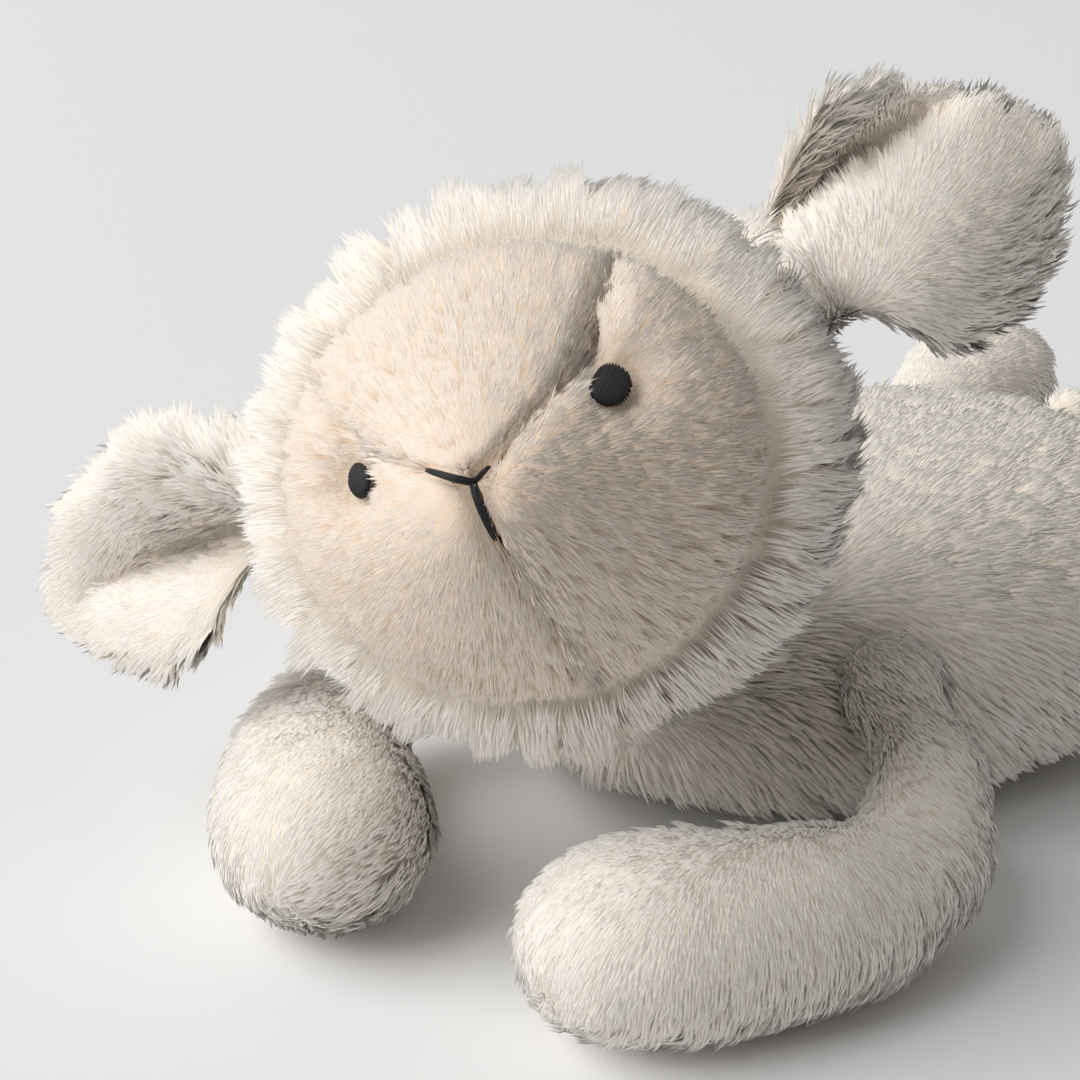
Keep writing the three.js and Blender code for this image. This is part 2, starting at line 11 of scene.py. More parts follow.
import bmesh
import bpy
import numpy as np
from mathutils import Euler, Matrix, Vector


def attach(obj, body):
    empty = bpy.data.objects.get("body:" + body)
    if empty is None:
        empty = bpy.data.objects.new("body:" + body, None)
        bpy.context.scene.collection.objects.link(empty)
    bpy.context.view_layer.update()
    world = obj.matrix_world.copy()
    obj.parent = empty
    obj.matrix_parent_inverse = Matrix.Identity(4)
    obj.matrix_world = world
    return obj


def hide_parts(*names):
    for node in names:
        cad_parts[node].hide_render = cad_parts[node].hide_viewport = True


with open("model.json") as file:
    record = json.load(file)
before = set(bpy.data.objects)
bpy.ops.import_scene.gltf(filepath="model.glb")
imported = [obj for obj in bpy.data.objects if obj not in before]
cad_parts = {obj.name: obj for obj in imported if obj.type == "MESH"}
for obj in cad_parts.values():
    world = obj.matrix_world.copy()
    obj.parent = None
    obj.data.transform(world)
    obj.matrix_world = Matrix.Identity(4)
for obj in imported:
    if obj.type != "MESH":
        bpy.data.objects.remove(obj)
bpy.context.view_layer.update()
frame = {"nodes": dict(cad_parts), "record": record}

bl_info = {
    "name": "Plush Sheep",
    "version": (1, 0, 0),
    "blender": (4, 5, 0),
    "location": "3D View > Sidebar > Sheep",
    "description": "Builds a lying plush sheep with sewn panels, pile and stitched features",
    "category": "Object",
}

MM = 0.001

# The pile's own map: a strand runs along u, and each row of v is one tone.
BAKE_MAP = "OFBake"
TONE_ROWS = 64
STRAND_U_START = 0.02
STRAND_U_SPAN = 0.30
STRAND_U_SIDE = 0.004
STRAND_ROW_SHARE = 0.17

HOOD_NODES = ("hood_left", "hood_right", "head_stuffing")
TRUNK_NODES = ("belly_panel", "back_panel_left", "back_panel_right", "body_stuffing", "bead_bag")
LIMBS = ("foreleg_left", "foreleg_right", "hind_leg_left", "hind_leg_right", "tail")
SIDES = ((1, "left"), (-1, "right"))
JOINT_PLACES = {
    joint["child"]: Vector(joint["pos_m"]) for joint in frame["record"]["behaviour"]["joints"]}

STRANDS = {
    "foreleg_left": 26000, "foreleg_right": 20000, "hind_leg_left": 14000, "hind_leg_right": 14000,
    "tail": 5500, "trunk": 27000, "neck": 2500, "hood": 27500, "ear": 20000,
    "forehead": 25000, "cheek_left": 30000, "cheek_right": 20000,
}
SEEDS = {"wool": 3, "neck": 9, "leg": 31, "hood": 51, "face": 71, "ear": 91}
CLOTHS = {"wool": "wool", "face_pile": "face"}    # which cloth each slot is made of
SHEENS = {"wool": 0.12, "face": 0.03}
# Two colours and the grain (per metre) of each backing cloth, and of the thread.
BACKINGS = {
    "wool": ((0.90, 0.83, 0.73), (0.84, 0.75, 0.63), 900.0),
    "face": ((0.88, 0.73, 0.59), (0.82, 0.66, 0.51), 1200.0),
}
THREAD = ((0.004, 0.0038, 0.004), (0.018, 0.015, 0.014), 1500.0)

# How each kind of pile leans, curls and clumps.
PILES = {
    "neck": {},
    "wool": {"Lean": 1.3, "Curl": 0.4, "Clump Size": 0.0036, "Clump Pull": 0.4, "Clump Spread": 0.7,
             "Strand Spread": 0.16},
    "leg": {"Lean": 1.5, "Curl": 0.45, "Clump Size": 0.0026, "Clump Pull": 0.5, "Clump Spread": 0.5,
            "Strand Spread": 0.15},
    "hood": {"Lean": 1.0, "Curl": 0.3, "Clump Size": 0.0055, "Clump Pull": 1.0, "Clump Spread": 0.6,
             "Strand Spread": 0.13},
    "face": {"Lean": 1.6, "Curl": 0.15, "Clump Size": 0.0022, "Clump Pull": 1.1, "Clump Spread": 0.8,
             "Strand Spread": 0.14, "Tone Change": 0.45},
    "ear": {"Lean": 1.3, "Curl": 0.4, "Clump Size": 0.003, "Clump Pull": 0.8, "Clump Spread": 0.6,
            "Strand Spread": 0.2},
}
PLAIN_TONE = 0.6


# ---------------------------------------------------------------- settings

def size_prop(name, description, default_mm):
    """A length whose default is given in millimetres."""
    return bpy.props.FloatProperty(
        name=name, description=description, default=default_mm * MM, unit="LENGTH", precision=5)


def colour_prop(name, description, default):
    """A colour setting."""
    return bpy.props.FloatVectorProperty(
        name=name, description=description, default=default, size=3, min=0, max=1, subtype="COLOR")


def place_prop(name, description, default):
    """A place in the scene."""
    return bpy.props.FloatVectorProperty(
        name=name, description=description, default=default, size=3, unit="LENGTH", precision=5)


def angle_prop(name, description, default_degrees):
    """An angle whose default is given in degrees."""
    return bpy.props.FloatProperty(
        name=name, description=description, default=math.radians(default_degrees), subtype="ANGLE")


class SheepPileSettings(bpy.types.PropertyGroup):
    """Pile of the wool and of the face"""
    wool_length: size_prop("Wool length", "Length of the body's pile", 6.6)
    neck_length: size_prop("Neck length", "Length of the neck's pile", 6.0)
    hood_length: size_prop("Hood length", "Length of the pile around the face", 8.4)
    leg_length: size_prop("Leg length", "Length of the legs' pile", 4.7)
    ear_length: size_prop("Ear pile length", "Length of the ears' pile", 5.0)
    face_length: size_prop("Face pile length", "Length of the face's pile", 4.6)
    wool_width: size_prop("Wool strand width", "Half width of one strand of the body's wool", 0.34)
    neck_width: size_prop("Neck strand width", "Half width of one strand of the neck's wool", 0.34)
    hood_width: size_prop("Hood strand width", "Half width of one strand of the hood's wool", 0.27)
    leg_width: size_prop("Leg strand width", "Half width of one strand of the legs' wool", 0.28)
    ear_width: size_prop("Ear strand width", "Half width of one strand of the ears' wool", 0.24)
    face_width: size_prop("Face strand width", "Half width of one strand of the face", 0.16)
    # The root colour is painted shade: the wool is darker and warmer deep in the pile, where shade
    # falls between the strands.
    wool_root: colour_prop("Wool root", "Colour deep in the wool", (0.90, 0.79, 0.66))
    wool_tip: colour_prop("Wool tip", "Colour of the wool's tips", (0.95, 0.915, 0.87))
    # The shade colour gives darker tufts at random, and in the ears' creases it is painted shade.
    wool_shade: colour_prop("Wool shade", "Colour of the darker tufts", (0.92, 0.845, 0.76))
    # The face's root colour is painted shade deep in its pile, as for the wool.
    face_root: colour_prop("Face root", "Colour deep in the face's pile", (0.86, 0.67, 0.50))
    face_tip: colour_prop("Face tip", "Colour of the face's pile", (0.87, 0.80, 0.73))
    face_shade: colour_prop("Face shade", "Colour of the face's darker strands", (0.86, 0.74, 0.62))


class SheepShapeSettings(bpy.types.PropertyGroup):
    """Shape of the head and its sewn features"""
    head_place: place_prop("Head place", "Middle of the head", (0.0052, -0.0963, 0.0766))
    head_turns: bpy.props.FloatVectorProperty(
        name="Head turns", description="Lift, tilt and turn of the head", size=3, subtype="EULER",
        default=(math.radians(-20.4), math.radians(-25.0), math.radians(23.2)))
    face_half_width: size_prop("Face half width", "From the middle of the face to its rim", 38.0)
    face_half_height: size_prop("Face half height", "From the middle of the face up to its rim", 34.5)
    face_drop: size_prop("Face drop", "How far the face's middle lies below the head's", 1.0)
    rim_forward: size_prop("Rim forward", "How far the face's rim lies before the middle", 22.0)
    dome_depth: size_prop("Dome depth", "How far the face stands out of its rim", 25.0)
    muzzle_bulge: size_prop("Muzzle bulge", "How far the muzzle stands out of the face", 13.0)
    panel_thickness: size_prop("Panel thickness", "Thickness of a face panel's cloth", 1.8)
    eye_side: size_prop("Eye side", "From the middle of the face to an eye", 20.2)
    eye_rise: size_prop("Eye rise", "Height of an eye above the head's middle", 5.0)
    eye_width: size_prop("Eye width", "Width of an eye", 5.5)
    eye_height: size_prop("Eye height", "Height of an eye", 6.6)
    nose_drop: size_prop("Nose drop", "How far the nose lies below the head's middle", 2.7)
    ear_length: size_prop("Ear length", "From the ear's root to its tip", 53.0)
    ear_half_width: size_prop("Ear half width", "Half of the ear's greatest width", 19.0)
    ear_fold: size_prop("Ear fold", "Extra depth of the fold along the ear", 9.0)
    ear_sweep: angle_prop("Ear sweep", "How far the ears turn back", 22)
    ear_lift: angle_prop("Ear lift", "How far the left ear is raised", 13)


class SheepStageSettings(bpy.types.PropertyGroup):
    """Camera, floor and light"""
    camera_place: place_prop("Camera place", "Where the camera stands", (0.2737, -0.4572, 0.2457))
    camera_aim: place_prop("Camera aim", "What the camera looks at", (0.0058, -0.1017, 0.0659))
    lens: bpy.props.FloatProperty(
        name="Lens", description="Focal length", default=100, unit="CAMERA")
    floor_colour: colour_prop("Floor", "Colour of the floor", (0.965, 0.965, 0.965))
    floor_bounce: colour_prop(
        "Floor bounce", "Colour of the light that the floor throws back", (0.92, 0.92, 0.92))
    backdrop_colour: colour_prop("Backdrop", "Colour behind the sheep", (0.80, 0.79, 0.80))
    window_power: bpy.props.FloatProperty(
        name="Window power", description="Strength of the large soft light", default=272.0,
        unit="POWER")
    room_strength: bpy.props.FloatProperty(
        name="Room light", description="Strength of the light from all round", default=0.25,
        subtype="FACTOR")


# ---------------------------------------------------------------- node helpers

def both_ways(operation):
    """The two methods of an operator: as written, and with the wire on its right."""
    def written(self, other):
        return self._join(operation, self, other)

    def reflected(self, other):
        return self._join(operation, other, self)

    return written, reflected


class Wire:
    """A node socket that takes part in Python arithmetic. Vectors use Vector Math."""

    def __init__(self, tree, socket):
        self.tree = tree
        self.socket = socket

    @property
    def is_vector(self):
        """True for a vector or a colour."""
        return self.socket.type in {"VECTOR", "RGBA"}

    def _join(self, operation, first, second):
        """The result of a Math or a Vector Math node."""
        vectors = (getattr(value, "is_vector", isinstance(value, tuple)) for value in (first, second))
        kind = "ShaderNodeVectorMath" if any(vectors) else "ShaderNodeMath"
        made = self.tree.nodes.new(kind)
        made.operation = operation
        for slot, value in zip(made.inputs, (first, second)):
            plug(self.tree, slot, value)
        return Wire(self.tree, made.outputs[0])

    __add__, __radd__ = both_ways("ADD")
    __sub__, __rsub__ = both_ways("SUBTRACT")
    __mul__, __rmul__ = both_ways("MULTIPLY")
    __truediv__, __rtruediv__ = both_ways("DIVIDE")
    __pow__, __rpow__ = both_ways("POWER")

    def at_least(self, other):
        """The larger of the two."""
        return self._join("MAXIMUM", self, other)

    def at_most(self, other):
        """The smaller of the two."""
        return self._join("MINIMUM", self, other)

    def floored(self):
        """The number rounded down."""
        return self._join("FLOOR", self, 0.0)

    def dot(self, other):
        """The product of two vectors as a number."""
        made = self.tree.nodes.new("ShaderNodeVectorMath")
        made.operation = "DOT_PRODUCT"
        plug(self.tree, made.inputs[0], self)
        plug(self.tree, made.inputs[1], other)
        return Wire(self.tree, made.outputs["Value"])

    def unit(self):
        """The vector at unit length."""
        return self._join("NORMALIZE", self, (0.0, 0.0, 0.0))

    def repeated(self):
        """The number as a vector with that number on each axis, to multiply a vector with."""
        return joined(self.tree, self, self, self)


def plug(tree, slot, value):
    """Links a wire to a socket, or sets a plain value on it."""
    if isinstance(value, Wire):
        tree.links.new(value.socket, slot)
    elif slot.type in {"VECTOR", "RGBA"} and isinstance(value, (int, float)):
        slot.default_value = (value,) * len(slot.default_value)
    elif slot.type == "RGBA" and len(value) == 3:
        slot.default_value = (*value, 1.0)
    else:
        slot.default_value = value


def node(tree, kind, settings=None, **values):
    """Adds a node: its settings first, then its sockets by name with _ for a space."""
    made = tree.nodes.new(kind)
    for name, value in (settings or {}).items():
        setattr(made, name, value)
    for name, value in values.items():
        label = name.replace("_", " ").lower()
        slot = next(s for s in made.inputs if s.enabled and s.name.lower() == label)
        plug(tree, slot, value)
    return made


def out(tree, made, name=None):
    """One output of a node as a wire: the first enabled one, or the one with the name."""
    sockets = [s for s in made.outputs if s.enabled and (name is None or s.name == name)]
    return Wire(tree, sockets[0])


def split(tree, wire):
    """The three numbers of a vector."""
    parts = node(tree, "ShaderNodeSeparateXYZ", Vector=wire)
    return [Wire(tree, parts.outputs[axis]) for axis in "XYZ"]


def joined(tree, x, y, z):
    """A vector from three numbers."""
    return out(tree, node(tree, "ShaderNodeCombineXYZ", X=x, Y=y, Z=z))


# ---------------------------------------------------------------- materials

def new_material(name, roughness, specular):
    """A material, its tree and its shader with the two constants of its gloss."""
    material = bpy.data.materials.new(name)
    material.use_nodes = True
    tree = material.node_tree
    shader = tree.nodes["Principled BSDF"]
    shader.inputs["Roughness"].default_value = roughness
    shader.inputs["Specular IOR Level"].default_value = specular
    return material, tree, shader


def mixed(tree, factor, first, second):
    """The first colour where the factor is 0, the second where it is 1."""
    made = node(tree, "ShaderNodeMix", {"data_type": "RGBA"}, Factor=factor, A=first, B=second)
    return out(tree, made, "Result")


ROOT_SHADE_POWER = 0.75             # below 1 the root's painted shade stays deep in the pile
RAISED_FROM, RAISED_GAIN = 0.45, 2.0    # from what height of the thread's twist it turns paler, and how fast
BROAD_GRAIN = 6               # how many grains a patch of the backing's colour spans


def pile_material(name, root, tip, shade, sheen):
    """Pile whose colour follows the strand from root to tip, and its row of tone. The darker root is
    painted shade deep in the pile.
    """
    _, tree, shader = new_material(name, roughness=0.85, specular=0.12)
    place = out(tree, node(tree, "ShaderNodeUVMap", {"uv_map": BAKE_MAP}))
    u, v, _ = split(tree, place)
    along = ((u - STRAND_U_START) / STRAND_U_SPAN).at_least(0.0).at_most(1.0)
    tip_tone = mixed(tree, v.at_least(0.0).at_most(1.0), shade, tip)
    # The root's colour is painted shade, fading to the tip's colour along the strand.
    plug(tree, shader.inputs["Base Color"], mixed(tree, along ** ROOT_SHADE_POWER, root, tip_tone))
    shader.inputs["Sheen Weight"].default_value = sheen
    shader.inputs["Sheen Roughness"].default_value = 0.5


def grain_noise(tree, scale, detail, roughness=0.5):
    """Noise that is fixed to the piece, as a number."""
    place = out(tree, node(tree, "ShaderNodeTexCoord"), "Object")
    noise = node(tree, "ShaderNodeTexNoise", Vector=place, Scale=scale, Detail=detail,
                 Roughness=roughness)
    return Wire(tree, noise.outputs[0])


def raised(tree, shader, height, strength, distance):
    """Bumps the shader's surface by a height."""
    relief = node(tree, "ShaderNodeBump", Strength=strength, Distance=distance, Height=height)
    plug(tree, shader.inputs["Normal"], out(tree, relief))


def backing_material(name, colour, shade, grain):
    """Cloth backing seen between the strands."""
    _, tree, shader = new_material(name, roughness=0.95, specular=0.1)
    broad = grain_noise(tree, grain / BROAD_GRAIN, detail=3.0)
    plug(tree, shader.inputs["Base Color"], mixed(tree, broad, shade, colour))
    fine = grain_noise(tree, grain, detail=4.0, roughness=0.6)
    raised(tree, shader, fine, strength=0.6, distance=0.8 * MM)


def thread_material(name, dark, raised_colour, twist):
    """Embroidery thread with a fine twist."""
    _, tree, shader = new_material(name, roughness=0.5, specular=0.3)
    height = grain_noise(tree, twist, detail=3.0, roughness=0.7)
    # The thread is paler where its twist stands highest.
    raised_share = (height - RAISED_FROM).at_least(0.0) * RAISED_GAIN
    plug(tree, shader.inputs["Base Color"], mixed(tree, raised_share, dark, raised_colour))
    raised(tree, shader, height, strength=0.5, distance=0.3 * MM)


def material_named(name):
    """A material that the finishes step has made."""
    return bpy.data.materials[name]


# ---------------------------------------------------------------- meshes

def new_object(name, mesh):
    """A new object in the scene."""
    made = bpy.data.objects.new(name, mesh)
    bpy.context.scene.collection.objects.link(made)
    return made


def smooth(mesh):
    """Shades all of the mesh smooth."""
    mesh.polygons.foreach_set("use_smooth", [True] * len(mesh.polygons))


def closed_mesh(name, points, faces):
    """A smooth mesh of closed shells whose faces look outwards."""
    mesh = bpy.data.meshes.new(name)
    mesh.from_pydata(points, [], faces)
    turned = bmesh.new()
    turned.from_mesh(mesh)
    bmesh.ops.recalc_face_normals(turned, faces=turned.faces)
    if turned.calc_volume(signed=True) < 0:
        bmesh.ops.reverse_faces(turned, faces=turned.faces)
    turned.to_mesh(mesh)
    turned.free()
    smooth(mesh)
    return mesh


def places(mesh):
    """The vertices' places, one row each."""
    flat = np.empty(len(mesh.vertices) * 3)
    mesh.vertices.foreach_get("co", flat)
    return flat.reshape(-1, 3)


def set_places(mesh, points):
    """Moves the vertices to their new places."""
    mesh.vertices.foreach_set("co", np.ascontiguousarray(points, dtype=float).ravel())
    mesh.update()


def outward(mesh):
    """The vertices' normals, one row each."""
    flat = np.empty(len(mesh.vertices) * 3)
    mesh.vertex_normals.foreach_get("vector", flat)
    return flat.reshape(-1, 3)


def store(mesh, name, values, kind="FLOAT"):
    """Stores a number or a vector for each vertex."""
    attribute = mesh.attributes.new(name, kind, "POINT")
    field = "vector" if kind == "FLOAT_VECTOR" else "value"
    attribute.data.foreach_set(field, np.asarray(values, float).ravel())


def evaluated(made):
    """The object with its modifiers applied, as a plain mesh."""
    bpy.context.view_layer.update()
    graph = bpy.context.evaluated_depsgraph_get()
    mesh = bpy.data.meshes.new_from_object(
        made.evaluated_get(graph), preserve_all_data_layers=True, depsgraph=graph)
    old = made.data
    made.modifiers.clear()
    made.data = mesh
    if old.users == 0:
        bpy.data.meshes.remove(old)
    return made


def with_modifier(made, kind, **settings):
    """The object with one more modifier applied."""
    modifier = made.modifiers.new(kind.title(), kind)
    for name, value in settings.items():
        setattr(modifier, name, value)
    return evaluated(made)


def copied_nodes(name, nodes):
    """One mesh from copies of CAD nodes, with their loose triangles merged."""
    merged = bmesh.new()
    for each in nodes:
        merged.from_mesh(frame["nodes"][each].data)
    bmesh.ops.remove_doubles(merged, verts=merged.verts, dist=1e-6)
    mesh = bpy.data.meshes.new(name)
    merged.to_mesh(mesh)
    merged.free()
    mesh.materials.clear()
    return new_object(name, mesh)


def drawn_in(mesh, distance, floor):
    """Moves the skin in by a distance, and keeps it above a height over the floor."""
    points = places(mesh) - outward(mesh) * distance
    points[:, 2] = np.maximum(points[:, 2], floor)
    set_places(mesh, points)


PUFF_STEPS = 20
PUFF_PRESSURE = 4.0


def puffed(made, pressure, cap):
    """Swells a stuffed skin with cloth under pressure, no point moving past the cap."""
    before = places(made.data)
    cloth = made.modifiers.new("Cloth", "CLOTH")
    cloth.settings.use_pressure = True
    cloth.settings.uniform_pressure_force = pressure
    cloth.settings.effector_weights.gravity = 0.0
    scene = bpy.context.scene
    for step in range(1, PUFF_STEPS + 1):
        scene.frame_set(step)
    evaluated(made)
    scene.frame_set(1)
    moved = places(made.data) - before
    length = np.linalg.norm(moved, axis=1, keepdims=True)
    set_places(made.data, before + moved * np.minimum(1.0, cap / np.maximum(length, 1e-9)))


def stuffed_skin(name, nodes, voxel, inset, cap=0.0015):
    """A stuffed skin grown from CAD nodes: remeshed, swollen, smoothed and drawn in."""
    made = copied_nodes(name, nodes)
    with_modifier(made, "REMESH", mode="VOXEL", voxel_size=voxel, use_smooth_shade=True)
    keep_largest(made.data)
    with_modifier(made, "SMOOTH", factor=0.5, iterations=4)
    puffed(made, PUFF_PRESSURE, cap)
    with_modifier(made, "SMOOTH", factor=0.5, iterations=2)
    drawn_in(made.data, inset, inset * 0.5)
    with_modifier(made, "SUBSURF", levels=1, render_levels=1)
    smooth(made.data)
    return made


def keep_largest(mesh):
    """Leaves the largest shell only, so that no hidden cavity stays inside a skin."""
    shells = bmesh.new()
    shells.from_mesh(mesh)
    shells.verts.ensure_lookup_table()
    seen = [False] * len(shells.verts)
    groups = []
    for start in shells.verts:
        if seen[start.index]:
            continue
        group, queue = [], [start]
        seen[start.index] = True
        while queue:
            vert = queue.pop()
            group.append(vert)
            for edge in vert.link_edges:
                other = edge.other_vert(vert)
                if not seen[other.index]:
                    seen[other.index] = True
                    queue.append(other)
        groups.append(group)
    groups.sort(key=len)
    for group in groups[:-1]:
        bmesh.ops.delete(shells, geom=group, context="VERTS")
    shells.to_mesh(mesh)
    shells.free()
    mesh.update()


def neighbours(mesh):
    """The pairs of vertices that an edge joins."""
    pairs = np.empty(len(mesh.edges) * 2, dtype=np.int32)
    mesh.edges.foreach_get("vertices", pairs)
    return pairs.reshape(-1, 2)


def distance_from(mesh, seeds):
    """How far each vertex lies from the seeds, along the mesh's edges."""
    points = places(mesh)
    pairs = neighbours(mesh)
    lengths = np.linalg.norm(points[pairs[:, 0]] - points[pairs[:, 1]], axis=1)
    links = [[] for _ in points]
    for (a, b), length in zip(pairs.tolist(), lengths.tolist()):
        links[a].append((b, length))
        links[b].append((a, length))
    found = [math.inf] * len(points)
    queue = [(0.0, int(seed)) for seed in seeds]
    for _, seed in queue:
        found[seed] = 0.0
    heapq.heapify(queue)
    while queue:
        here, vertex = heapq.heappop(queue)
        if here > found[vertex]:
            continue
        for other, length in links[vertex]:
            if here + length < found[other]:
                found[other] = here + length
                heapq.heappush(queue, (found[other], other))
    return np.array(found)


def smoothed_over(mesh, values, rounds):
    """Averages values with their neighbours' over the mesh."""
    pairs = neighbours(mesh)
    count = np.zeros(len(mesh.vertices))
    np.add.at(count, pairs.ravel(), 1)
    values = np.array(values, float)
    for _ in range(rounds):
        total = np.zeros_like(values)
        np.add.at(total, pairs[:, 0], values[pairs[:, 1]])
        np.add.at(total, pairs[:, 1], values[pairs[:, 0]])
        share = total / np.maximum(count, 1).reshape((-1,) + (1,) * (values.ndim - 1))
        values = 0.5 * values + 0.5 * share
    return values


def on_surface(directions, normals):
    """Directions laid flat on the surface, at unit length."""
    flat = directions - normals * np.sum(directions * normals, axis=1, keepdims=True)
    return flat / np.maximum(np.linalg.norm(flat, axis=1, keepdims=True), 1e-9)


def flow_along(mesh, start, seeds=12):
    """Directions over the mesh that lead away from a place, and the way from it to each vertex."""
    points = places(mesh)
    apart = np.linalg.norm(points - np.array(start), axis=1)
    found = smoothed_over(mesh, distance_from(mesh, np.argsort(apart)[:seeds]), rounds=6)
    pairs = neighbours(mesh)
    step = points[pairs[:, 1]] - points[pairs[:, 0]]
    rise = (found[pairs[:, 1]] - found[pairs[:, 0]]) / np.maximum(np.sum(step * step, axis=1), 1e-12)
    slope = np.zeros_like(points)
    np.add.at(slope, pairs[:, 0], step * rise[:, None])
    np.add.at(slope, pairs[:, 1], step * rise[:, None])
    return on_surface(smoothed_over(mesh, slope, rounds=8), outward(mesh)), found


# ---------------------------------------------------------------- pile

# What the pile's tree is given. Lengths are in metres.
PILE_INPUTS = (
    ("Strands per Area", "NodeSocketFloat", 1e6),
    ("Length", "NodeSocketFloat", 0.008),
    ("Width", "NodeSocketFloat", 0.0004),
    ("Lean", "NodeSocketFloat", 0.6),
    ("Curl", "NodeSocketFloat", 0.25),
    ("Clump Size", "NodeSocketFloat", 0.003),
    ("Clump Pull", "NodeSocketFloat", 0.7),
    ("Clump Spread", "NodeSocketFloat", 0.5),
    ("Strand Spread", "NodeSocketFloat", 0.25),
    ("Tone Change", "NodeSocketFloat", 0.3),
    ("Floor Height", "NodeSocketFloat", 0.0002),
    ("Strand Relief", "NodeSocketFloat", 0.9),
    ("Seed", "NodeSocketInt", 1),
    ("Material", "NodeSocketMaterial", None),
)


SCATTER_GAP = 0.70       # least way between two strands, in mean ways
SCATTER_TRIES = 4.0      # strands tried for each that stays
LEAST_RISE = 0.12        # how far a strand leaves the skin at least
SHADE_LEAN = 0.12        # how far the shading leans the strand's way
STRAND_SIZES = (0.72, 0.36)     # least size of a strand, and what chance adds
CLUMP_SIZES = (0.84, 0.32)      # the same for a whole clump
TONE_LIMITS = (0.02, 0.97)
FLOOR_RISE = 0.4 * MM    # how far a strand's tip lies over its root on the floor
PILE_MARKS = ("cover", "comb", "reach", "tone", "normal")
WAY_SEED, SIZE_SEED = 11, 23    # what is added to a piece's seed for the ways and the sizes
TWIST = (0.12, 0.12, 0.12)      # how much a strand is turned about its own length
SIZE_TONE_SHARE = 0.7           # a strand's own share in the change of tone
STRAND_FLATNESS = 0.8
STRAND_FULLNESS = 0.8           # lifts the strand's widest place above its middle


def stored(tree, geometry, name, value, kind="FLOAT", domain="POINT"):
    """Stores a value under a name on the geometry."""
    settings = {"data_type": kind, "domain": domain}
    return out(tree, node(tree, "GeometryNodeStoreNamedAttribute", settings, Geometry=geometry,
                          Name=name, Value=value))


def marked_value(tree, name, kind="FLOAT"):
    """A value that is stored under a name."""
    mark = node(tree, "GeometryNodeInputNamedAttribute", {"data_type": kind}, Name=name)
    return out(tree, mark, "Attribute")


def pile_strand(tree, slenderness, curl):
    """One three-sided strand of unit length, pointed at both ends, and bent towards +X."""
    spindle = node(tree, "GeometryNodeMeshUVSphere", Segments=3, Rings=2, Radius=1.0)
    x, y, z = split(tree, out(tree, node(tree, "GeometryNodeInputPosition")))
    share = z * 0.5 + 0.5
    height = share + share * (1.0 - share) * STRAND_FULLNESS
    marked = stored(tree, out(tree, spindle, "Mesh"), "strand_along", height)
    marked = stored(tree, marked, "strand_side", y)
    across = x * (slenderness * STRAND_FLATNESS) + height * height * curl
    bent = joined(tree, across, y * slenderness, height)
    return out(tree, node(tree, "GeometryNodeSetPosition", Geometry=marked, Position=bent))


def combed_strands(tree, given):
    """Strands scattered over the skin, combed and clumped, each with its row of tone."""
    seed = given["Seed"]
    scatter = node(tree, "GeometryNodeDistributePointsOnFaces", {"distribute_method": "POISSON"},
                   Mesh=given["Skin"], Distance_Min=SCATTER_GAP / given["Strands per Area"] ** 0.5,
                   Density_Max=given["Strands per Area"] * SCATTER_TRIES,
                   Density_Factor=marked_value(tree, "pile_cover"), Seed=seed)
    roots = stored(tree, out(tree, scatter, "Points"), "pile_normal", out(tree, scatter, "Normal"),
                   "FLOAT_VECTOR")
    here = out(tree, node(tree, "GeometryNodeInputPosition"))
    normal = marked_value(tree, "pile_normal", "FLOAT_VECTOR")
    comb = marked_value(tree, "pile_comb", "FLOAT_VECTOR")

    clumps = node(tree, "ShaderNodeTexVoronoi", {"voronoi_dimensions": "3D", "feature": "F1"},
                  Vector=here, Scale=1.0 / given["Clump Size"])
    clump_random = out(tree, clumps, "Color")
    to_middle = out(tree, clumps, "Position") - here
    strand_random = out(tree, node(
        tree, "FunctionNodeRandomValue", {"data_type": "FLOAT_VECTOR"}, Min=(-1.0, -1.0, -1.0),
        Max=(1.0, 1.0, 1.0), Seed=seed + WAY_SEED))
    size_random = out(tree, node(
        tree, "FunctionNodeRandomValue", {"data_type": "FLOAT"}, Min=0.0, Max=1.0,
        Seed=seed + SIZE_SEED))

    direction = (
        normal
        + comb * given["Lean"].repeated()
        + to_middle * (given["Clump Pull"] / given["Length"]).repeated()
        + (clump_random - (0.5, 0.5, 0.5)) * given["Clump Spread"].repeated()
        + strand_random * given["Strand Spread"].repeated()
    ).unit()
    rise = direction.dot(normal)
    direction = (direction + normal * (rise.at_least(LEAST_RISE) - rise).repeated()).unit()
    turn = node(tree, "FunctionNodeAxesToRotation", {"primary_axis": "Z", "secondary_axis": "X"},
                Primary_Axis=direction, Secondary_Axis=comb + strand_random * TWIST)

    clump_size, clump_tone, _ = split(tree, clump_random)
    size = (given["Length"] * marked_value(tree, "pile_reach")
            * (STRAND_SIZES[0] + size_random * STRAND_SIZES[1])
            * (CLUMP_SIZES[0] + clump_size * CLUMP_SIZES[1]))
    strand = pile_strand(tree, given["Width"] / given["Length"], given["Curl"])
    placed = node(tree, "GeometryNodeInstanceOnPoints", Points=roots, Instance=strand,
                  Rotation=out(tree, turn), Scale=size.repeated())
    tone = (marked_value(tree, "pile_tone") + (clump_tone - 0.5) * given["Tone Change"]
            + (size_random - 0.5) * given["Tone Change"] * SIZE_TONE_SHARE)
    tone = tone.at_least(TONE_LIMITS[0]).at_most(TONE_LIMITS[1])
    row = ((tone * TONE_ROWS).floored() + 0.5) / TONE_ROWS
    toned = stored(tree, out(tree, placed), "strand_row", row, domain="INSTANCE")
    leaning = (normal + direction * (SHADE_LEAN, SHADE_LEAN, SHADE_LEAN)).unit()
    return stored(tree, toned, "strand_normal", leaning, "FLOAT_VECTOR", "INSTANCE")


